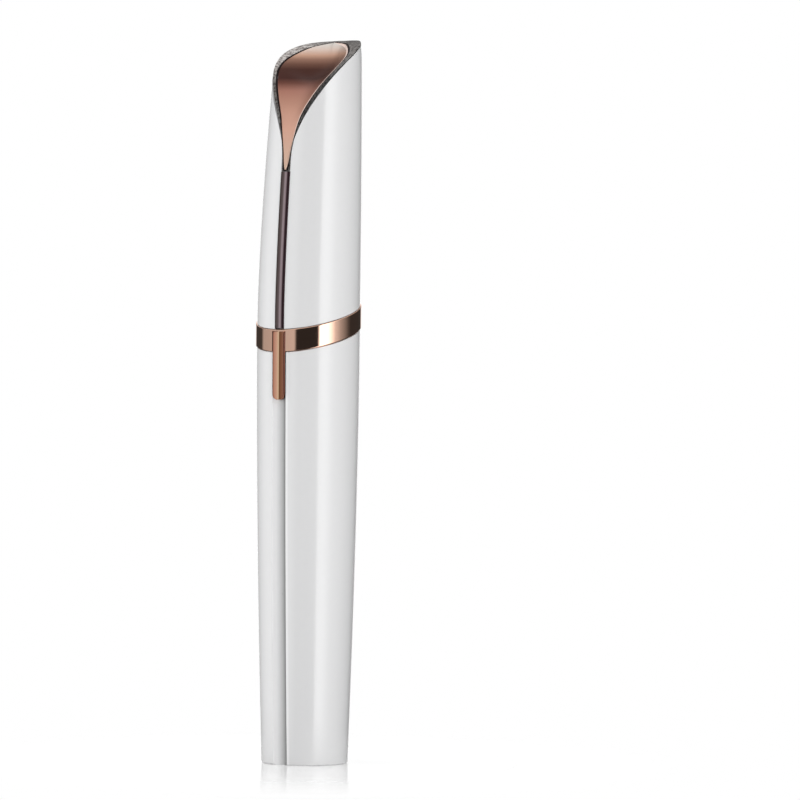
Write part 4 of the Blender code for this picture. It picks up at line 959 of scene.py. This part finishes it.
def make_inlay():
    top = scoop_grid(INLAY_RECESS)[1:, 1:-1]
    low = scoop_grid(INLAY_THICKNESS)[1:, 1:-1]
    rings = []
    for upper, lower in zip(top, low):
        squeeze = np.array([max(1 - GAP / upper[-1][0], 0.0), 1, 1])
        rings.append([tuple(point * squeeze) for point in [*upper, *reversed(lower)]])
    rings.append([(0.0, y, z) for _, y, z in rings[-1]])
    count = len(rings[0])
    points = [point for ring in rings for point in ring]
    faces = ring_faces(count, [(row, row + 1) for row in range(len(rings) - 1)])
    faces.append(tuple(reversed(range(count))))
    inlay = place("scoop_inlay_fine", mesh_of("scoop_inlay_fine", points, faces), "inlay_satin")
    inlay.data.materials.append(FINISH["lip_gold"])
    settle(inlay, sharp=50)
    # The pale lip, a painted highlight, is the outermost column of faces on the right side
    lip = len(top[0]) - 2
    for polygon in list(inlay.data.polygons)[lip : count * len(top) : count]:
        polygon.material_index = 1
    stands_for(inlay, "scoop_inlay")


def channel_floor(z, half, lift):
    """Points of the groove's rounded floor, out to a half width, under the curve of the handle."""
    radius = handle_radius(z)
    floor = []
    for step in range(2 * CHANNEL_STEPS + 1):
        x = half * (step / CHANNEL_STEPS - 1)
        hollow = (GROOVE_DEPTH - lift) * (1 - (2 * x / GROOVE_WIDTH) ** 2)
        floor.append((x, math.sqrt(radius**2 - x**2) - radius - hollow))
    return floor


def make_handle():
    """The shell with its groove, and the ring on top of it, which the groove cuts too."""
    rows = round(HANDLE_LENGTH / ROW_STEP)
    outer = []
    inner = []
    for row in range(rows + 1):
        share = row / rows
        slope = PARTING_SLOPE * max(2 * share - 1, 0.0)
        outer.append(round_ring(handle_radius, BASE_EDGE + (HANDLE_LENGTH - BASE_EDGE) * share, slope))
        height = HANDLE_FLOOR + (HANDLE_LENGTH - HANDLE_FLOOR) * share
        inner.append(round_ring(lambda z: handle_radius(z) - HANDLE_WALL, height, slope))
    foot = []
    for step in range(BASE_STEPS):
        angle = math.pi / 2 * step / BASE_STEPS
        inset = BASE_EDGE * (1 - math.sin(angle))
        height = BASE_EDGE * (1 - math.cos(angle))
        foot.append(round_ring(lambda z, inset=inset: handle_radius(z) - inset, height))
    opening = [round_ring(lambda z: DOOR_OPENING_RADIUS, z) for z in (HANDLE_FLOOR, 0.0)]
    # The handle's white carries a painted highlight line beside the groove
    shell = loft("handle_shell_fine", [*foot, *outer, *reversed(inner), *opening], "handle_white_painted_highlight", tube=True)
    half = GROOVE_WIDTH / 2
    groove = strip(
        "channel_cutter",
        handle_front,
        -CUT_OVERRUN,
        SWITCH_TOP + SWITCH_GAP / 2,
        lambda z: [(-half, CUT_OVERRUN), *channel_floor(z, half, 0.0), (half, CUT_OVERRUN)],
    )
    outline = sleeve(RING_RADIUS, COLLAR_RADIUS + GAP, RING_BOTTOM + RING_GAP, RING_TOP, RING_EDGE)
    ring = turned("trim_ring_fine", outline, "rose_gold", SHELL_SIDES, [PARTING_SLOPE] * len(outline))
    boolean(ring, groove)
    stands_for(settle(ring, sharp=35), "trim_ring")
    # The groove's faces take the white with painted shade and a painted highlight
    groove.data.materials.append(FINISH["groove_white_painted_shade_and_highlight"])
    boolean(shell, groove)
    stands_for(settle(shell, groove, sharp=25), "handle_shell")


def make_switch():
    """The bar in the groove, and the stem that goes through the shell behind it."""
    low = SWITCH_TOP - SWITCH_LENGTH
    half = SWITCH_WIDTH / 2

    def section(z):
        """Flanks that fall to a crease in the middle, and edges that round off towards both ends."""
        tail = math.sqrt(1 - (1 - min((z - low) / SWITCH_TAIL, 1.0)) ** 2)
        head = min((SWITCH_TOP - z) / SWITCH_BEVEL, 1.0)
        wide = half * (SWITCH_END_SHARE + (1 - SWITCH_END_SHARE) * tail)
        edge = SWITCH_EDGE_PROUD * min(tail, (1 + head) / 2)
        crease = min(SWITCH_CREASE_PROUD, edge)
        return [
            *channel_floor(z, wide, SWITCH_GAP),
            (wide, edge - SWITCH_ROUND * tail),
            (wide - SWITCH_ROUND / 3, edge - SWITCH_ROUND * tail / 3),
            (wide - SWITCH_ROUND, edge),
            (SWITCH_ROUND / 2, crease),
            (-SWITCH_ROUND / 2, crease),
            (SWITCH_ROUND - wide, edge),
            (SWITCH_ROUND / 3 - wide, edge - SWITCH_ROUND * tail / 3),
            (-wide, edge - SWITCH_ROUND * tail),
        ]

    # The switch's gold carries painted reflections and painted shade
    knob = strip("switch_knob_fine", handle_front, low, SWITCH_TOP, section, "switch_gold_painted_reflection", rows=SWITCH_ROWS)
    stem_half = STEM_WIDTH / 2
    stem_back = -handle_radius(STEM_MIDDLE) + HANDLE_WALL + SEAT_GAP
    stem = block(
        "stem",
        (-stem_half, -HANDLE_TOP_RADIUS, STEM_MIDDLE - STEM_HEIGHT / 2),
        (stem_half, stem_back, STEM_MIDDLE + STEM_HEIGHT / 2),
    )
    boolean(knob, stem, "UNION")
    stands_for(settle(knob, stem, sharp=20), "switch_knob")


def cover_radius(z):
    share = (z - COVER_BOTTOM) / COVER_HEIGHT
    return BARREL_TOP_RADIUS - (BARREL_TOP_RADIUS - COVER_TOP_RADIUS) * share**COVER_BEND_SHARE


def make_head():
    collar_low = RING_BOTTOM - COLLAR_DEPTH
    outline = sleeve(COLLAR_RADIUS, COLLAR_RADIUS - COLLAR_WALL, collar_low, COLLAR_TOP, HEAD_EDGE / 2)
    make_turned("neck_collar", outline, "rose_gold", 50, SHELL_SIDES, [PARTING_SLOPE] * len(outline))
    barrel_low = COLLAR_TOP + GAP
    barrel_inner = BARREL_TOP_RADIUS - BARREL_WALL
    outline = [
        (BARREL_RADIUS, barrel_low),
        (BARREL_TOP_RADIUS, BARREL_TOP - GAP),
        (BARREL_TOP_RADIUS - GAP, BARREL_TOP),
        (barrel_inner, BARREL_TOP),
        (BARREL_RADIUS - BARREL_WALL, barrel_low),
    ]
    slopes = [PARTING_SLOPE, 0.0, 0.0, 0.0, PARTING_SLOPE]
    make_turned("head_barrel", outline, "rose_gold", 40, SHELL_SIDES, slopes)
    shares = [(row / COVER_ROWS) ** COVER_SPREAD_SHARE for row in range(COVER_ROWS + 1)]
    levels = [COVER_BOTTOM + COVER_HEIGHT * share for share in shares]
    spigot = barrel_inner - SEAT_GAP
    outline = [
        *[(cover_radius(z), z) for z in levels],
        (COVER_TOP_RADIUS - COVER_WALL, COVER_TOP),
        (spigot - SPIGOT_WALL, COVER_BOTTOM),
        (spigot - SPIGOT_WALL, BARREL_TOP - SPIGOT_LENGTH),
        (spigot, BARREL_TOP - SPIGOT_LENGTH),
        (spigot, COVER_BOTTOM),
    ]
    make_turned("head_cover", outline, "rose_gold", 35, SHELL_SIDES)
    corners = [
        (LENS_RADIUS, LENS_BOTTOM),
        ((LENS_RADIUS + LENS_TOP_RADIUS) / 2 + GAP, (LENS_BOTTOM + LENS_TOP) / 2),
        (LENS_TOP_RADIUS, LENS_TOP),
        (LENS_TOP_RADIUS - LENS_WALL, LENS_TOP),
        (LENS_RADIUS - LENS_WALL, LENS_BOTTOM),
    ]
    make_turned("lens_ring", rounded(corners, HEAD_EDGE), "frosted_lens", 50)


def make_tip():
    skirt = LENS_TOP_RADIUS - LENS_WALL - SEAT_GAP
    corners = [
        (skirt, TIP_BOTTOM - TIP_SKIRT),
        (skirt, TIP_BOTTOM),
        (TIP_RADIUS, TIP_BOTTOM),
        (TIP_TOP_RADIUS + TIP_EDGE, TIP_TOP - TIP_EDGE),
        (TIP_TOP_RADIUS, TIP_TOP),
        (TIP_EYE_RADIUS, TIP_TOP),
        (TIP_EYE_RADIUS, TIP_TOP - TIP_WALL),
        (TIP_TOP_RADIUS - TIP_EDGE / 2, TIP_TOP - TIP_WALL),
        (skirt - TIP_WALL, TIP_BOTTOM),
        (skirt - TIP_WALL, TIP_BOTTOM - TIP_SKIRT),
    ]
    make_turned("tip_guard", rounded(corners, HEAD_EDGE / 2, TIP_ROUND_STEPS), "blush_metal", 50)
    slots = place("tip_slots", bpy.data.meshes.new("tip_slots"))
    slots.modifiers.new("slots", "NODES").node_group = slot_tree()
    settle(slots)
    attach(slots, "head")


def slot_tree():
    """Dark bars of painted shade in the place of the slots round the crown of the tip. Their upper ends lean
    out of it.
    """
    tree = bpy.data.node_groups.new("crown_slots", "GeometryNodeTree")
    sizes = {
        "Radius": (TIP_TOP_RADIUS + TIP_RADIUS) / 2,
        "Height": TIP_TOP - TIP_SLOT_DEPTH / 2,
        "Lean": math.atan2(TIP_RADIUS - TIP_TOP_RADIUS, TIP_HEIGHT),
        "Width": TIP_SLOT_WIDTH,
        "Length": TIP_SLOT_DEPTH,
    }
    tree.interface.new_socket("Geometry", in_out="OUTPUT", socket_type="NodeSocketGeometry")
    for name, value in sizes.items():
        socket = tree.interface.new_socket(name, in_out="INPUT", socket_type="NodeSocketFloat")
        socket.default_value = value
    inside = add(tree, "NodeGroupInput", (-900, 0))
    outside = add(tree, "NodeGroupOutput", (900, 0))
    circle = add(tree, "GeometryNodeMeshCircle", (-650, 200))
    circle.inputs["Vertices"].default_value = TIP_SLOTS
    lift = add(tree, "ShaderNodeCombineXYZ", (-650, -50))
    raised = add(tree, "GeometryNodeTransform", (-400, 200))
    size = add(tree, "ShaderNodeCombineXYZ", (-650, -200))
    bar = add(tree, "GeometryNodeMeshCube", (-400, -100))
    tilt = add(tree, "ShaderNodeCombineXYZ", (-400, -350))
    leaned = add(tree, "GeometryNodeTransform", (-200, -100))
    spin = add(tree, "GeometryNodeInputIndex", (-400, -550))
    step = add(tree, "ShaderNodeMath", (-200, -550), operation="MULTIPLY")
    step.inputs[1].default_value = 2 * math.pi / TIP_SLOTS
    turn = add(tree, "ShaderNodeCombineXYZ", (0, -450))
    copies = add(tree, "GeometryNodeInstanceOnPoints", (200, 100))
    real = add(tree, "GeometryNodeRealizeInstances", (450, 100))
    dark = add(tree, "GeometryNodeSetMaterial", (650, 100))
    dark.inputs["Material"].default_value = FINISH["slot_shadow"]
    link = tree.links.new
    link(inside.outputs["Radius"], circle.inputs["Radius"])
    link(inside.outputs["Height"], lift.inputs["Z"])
    link(circle.outputs["Mesh"], raised.inputs["Geometry"])
    link(lift.outputs[0], raised.inputs["Translation"])
    link(inside.outputs["Width"], size.inputs["X"])
    link(inside.outputs["Width"], size.inputs["Y"])
    link(inside.outputs["Length"], size.inputs["Z"])
    link(size.outputs[0], bar.inputs["Size"])
    link(inside.outputs["Lean"], tilt.inputs["Y"])
    link(bar.outputs["Mesh"], leaned.inputs["Geometry"])
    link(tilt.outputs[0], leaned.inputs["Rotation"])
    link(spin.outputs[0], step.inputs[0])
    link(step.outputs[0], turn.inputs["Z"])
    link(raised.outputs["Geometry"], copies.inputs["Points"])
    link(leaned.outputs["Geometry"], copies.inputs["Instance"])
    link(turn.outputs[0], copies.inputs["Rotation"])
    link(copies.outputs["Instances"], real.inputs["Geometry"])
    link(real.outputs["Geometry"], dark.inputs["Geometry"])
    link(dark.outputs["Geometry"], outside.inputs["Geometry"])
    return tree


def dress_nodes():
    """The pieces whose shape is already right get their finish."""
    for name, node in frame["nodes"].items():
        node.data.materials.clear()
        node.data.materials.append(FINISH[slot_of_node[name]])


# Stage


def make_studio():
    """Panels of light and dark round the object, under a bright sky. The camera sees plain white instead."""
    world = bpy.data.worlds.new("studio")
    bpy.context.scene.world = world
    world.use_nodes = True
    tree = world.node_tree
    tree.nodes.clear()
    where = add(tree, "ShaderNodeTexCoord", (-1400, 0))
    split = add(tree, "ShaderNodeSeparateXYZ", (-1200, 0))
    angle = add(tree, "ShaderNodeMath", (-1000, 0), operation="ARCTAN2")
    shifted = add(tree, "ShaderNodeMath", (-800, 0), operation="SUBTRACT")
    shifted.inputs[1].default_value = CAMERA_ANGLE - math.pi
    wrapped = add(tree, "ShaderNodeMath", (-600, 0), operation="FLOORED_MODULO")
    wrapped.inputs[1].default_value = 2 * math.pi
    share = add(tree, "ShaderNodeMath", (-400, 0), operation="DIVIDE")
    share.inputs[1].default_value = 2 * math.pi
    walls = colour_ramp(tree, [((degrees + 180) / 360, level) for degrees, level in PANELS])
    rise = add(tree, "ShaderNodeMapRange", (-400, -300))
    rise.inputs["From Min"].default_value = SKY_START_SHARE
    rise.inputs["From Max"].default_value = SKY_END_SHARE
    sky = add(tree, "ShaderNodeMix", (300, 0), data_type="RGBA")
    sky.inputs["B"].default_value = (SKY_LEVEL, SKY_LEVEL, SKY_LEVEL, 1.0)
    rays = add(tree, "ShaderNodeLightPath", (300, 300))
    seen = add(tree, "ShaderNodeMix", (500, 0), data_type="RGBA")
    seen.inputs["B"].default_value = (1.0, 1.0, 1.0, 1.0)
    light = add(tree, "ShaderNodeBackground", (700, 0))
    out = add(tree, "ShaderNodeOutputWorld", (900, 0))
    link = tree.links.new
    link(where.outputs["Generated"], split.inputs[0])
    link(split.outputs["Y"], angle.inputs[0])
    link(split.outputs["X"], angle.inputs[1])
    link(angle.outputs[0], shifted.inputs[0])
    link(shifted.outputs[0], wrapped.inputs[0])
    link(wrapped.outputs[0], share.inputs[0])
    link(share.outputs[0], walls.inputs["Fac"])
    link(split.outputs["Z"], rise.inputs["Value"])
    link(rise.outputs["Result"], sky.inputs["Factor"])
    link(walls.outputs["Color"], sky.inputs["A"])
    link(rays.outputs["Is Camera Ray"], seen.inputs["Factor"])
    link(sky.outputs["Result"], seen.inputs["A"])
    link(seen.outputs["Result"], light.inputs["Color"])
    link(light.outputs[0], out.inputs["Surface"])


def make_floor():
    """A pale floor that shows the object's foot, and is clear further out and when seen from below."""
    corners = [(FLOOR_HALF * x, FLOOR_HALF * y, 0) for x, y in ((-1, -1), (1, -1), (1, 1), (-1, 1))]
    floor = place("floor", mesh_of("floor", corners, [(0, 1, 2, 3)]))
    floor.location.z = -FLOOR_DROP
    surface = bpy.data.materials.new("pale_floor")
    surface.use_nodes = True
    tree = surface.node_tree
    shader = tree.nodes["Principled BSDF"]
    shader.inputs["Base Color"].default_value = (FLOOR_TONE, FLOOR_TONE, FLOOR_TONE, 1.0)
    shader.inputs["Roughness"].default_value = FLOOR_ROUGHNESS
    shader.inputs["Specular IOR Level"].default_value = FLOOR_SHINE
    rays = add(tree, "ShaderNodeLightPath", (-600, -300))
    glow = add(tree, "ShaderNodeMath", (-300, -300), operation="MULTIPLY")
    glow.inputs[1].default_value = FLOOR_GLOW
    shader.inputs["Emission Color"].default_value = (1.0, 1.0, 1.0, 1.0)
    where = add(tree, "ShaderNodeTexCoord", (-900, 300))
    reach = add(tree, "ShaderNodeVectorMath", (-700, 300), operation="LENGTH")
    fade = add(tree, "ShaderNodeMapRange", (-500, 300), interpolation_type="SMOOTHSTEP")
    fade.inputs["From Min"].default_value = FLOOR_SOLID
    fade.inputs["From Max"].default_value = FLOOR_END
    below = add(tree, "ShaderNodeNewGeometry", (-500, 600))
    gone = add(tree, "ShaderNodeMath", (-200, 300), operation="MAXIMUM")
    clear = add(tree, "ShaderNodeBsdfTransparent", (0, -500))
    blend = add(tree, "ShaderNodeMixShader", (300, 0))
    link = tree.links.new
    link(rays.outputs["Is Camera Ray"], glow.inputs[0])
    link(glow.outputs[0], shader.inputs["Emission Strength"])
    link(where.outputs["Object"], reach.inputs[0])
    link(reach.outputs["Value"], fade.inputs["Value"])
    link(fade.outputs["Result"], gone.inputs[0])
    link(below.outputs["Backfacing"], gone.inputs[1])
    link(gone.outputs[0], blend.inputs["Fac"])
    link(shader.outputs[0], blend.inputs[1])
    link(clear.outputs[0], blend.inputs[2])
    link(blend.outputs[0], tree.nodes["Material Output"].inputs["Surface"])
    floor.data.materials.append(surface)
    # Bounced light passes it, so the object's underside is lit too
    floor.visible_diffuse = False


def make_lamp(name, turn, height, distance, power):
    """A soft panel light, aimed at the middle of the object."""
    light = bpy.data.lights.new(name, "AREA")
    light.shape = "RECTANGLE"
    light.size = LAMP_WIDTH
    light.size_y = LAMP_HEIGHT
    light.energy = power
    made = bpy.data.objects.new(name, light)
    bpy.context.scene.collection.objects.link(made)
    angle = CAMERA_ANGLE + math.radians(turn)
    made.location = (distance * math.cos(angle), distance * math.sin(angle), height)
    aim = Vector((0, 0, COLLAR_TOP / 2)) - made.location
    made.rotation_euler = aim.to_track_quat("-Z", "Y").to_euler()
    made.visible_glossy = False
    made.visible_camera = False


def make_camera():
    camera = bpy.data.cameras.new("camera")
    camera.lens = VIEW_LENS
    camera.clip_start = NEAREST_SEEN
    made = bpy.data.objects.new("camera", camera)
    bpy.context.scene.collection.objects.link(made)
    away = Vector((math.sin(VIEW_TURN), -math.cos(VIEW_TURN), 0))
    right = Vector((math.cos(VIEW_TURN), math.sin(VIEW_TURN), 0))
    aside = (PHOTO_SIZE / 2 - AXIS_PIXEL) * PIXEL
    height = (FLOOR_PIXEL - PHOTO_SIZE / 2) * PIXEL
    made.location = away * VIEW_DISTANCE + right * aside + Vector((0, 0, height))
    level = (-away).to_track_quat("-Z", "Y").to_matrix()
    made.rotation_euler = (Matrix.Rotation(VIEW_ROLL, 3, away) @ level).to_euler()
    bpy.context.scene.camera = made


make_camera()
make_studio()
for name, (turn, height, distance, power) in LAMPS.items():
    make_lamp(name, turn, height, distance, power)
make_floor()
dress_nodes()
make_cap()
make_handle()
make_switch()
make_head()
make_tip()
bpy.context.scene.view_settings.view_transform = "Standard"
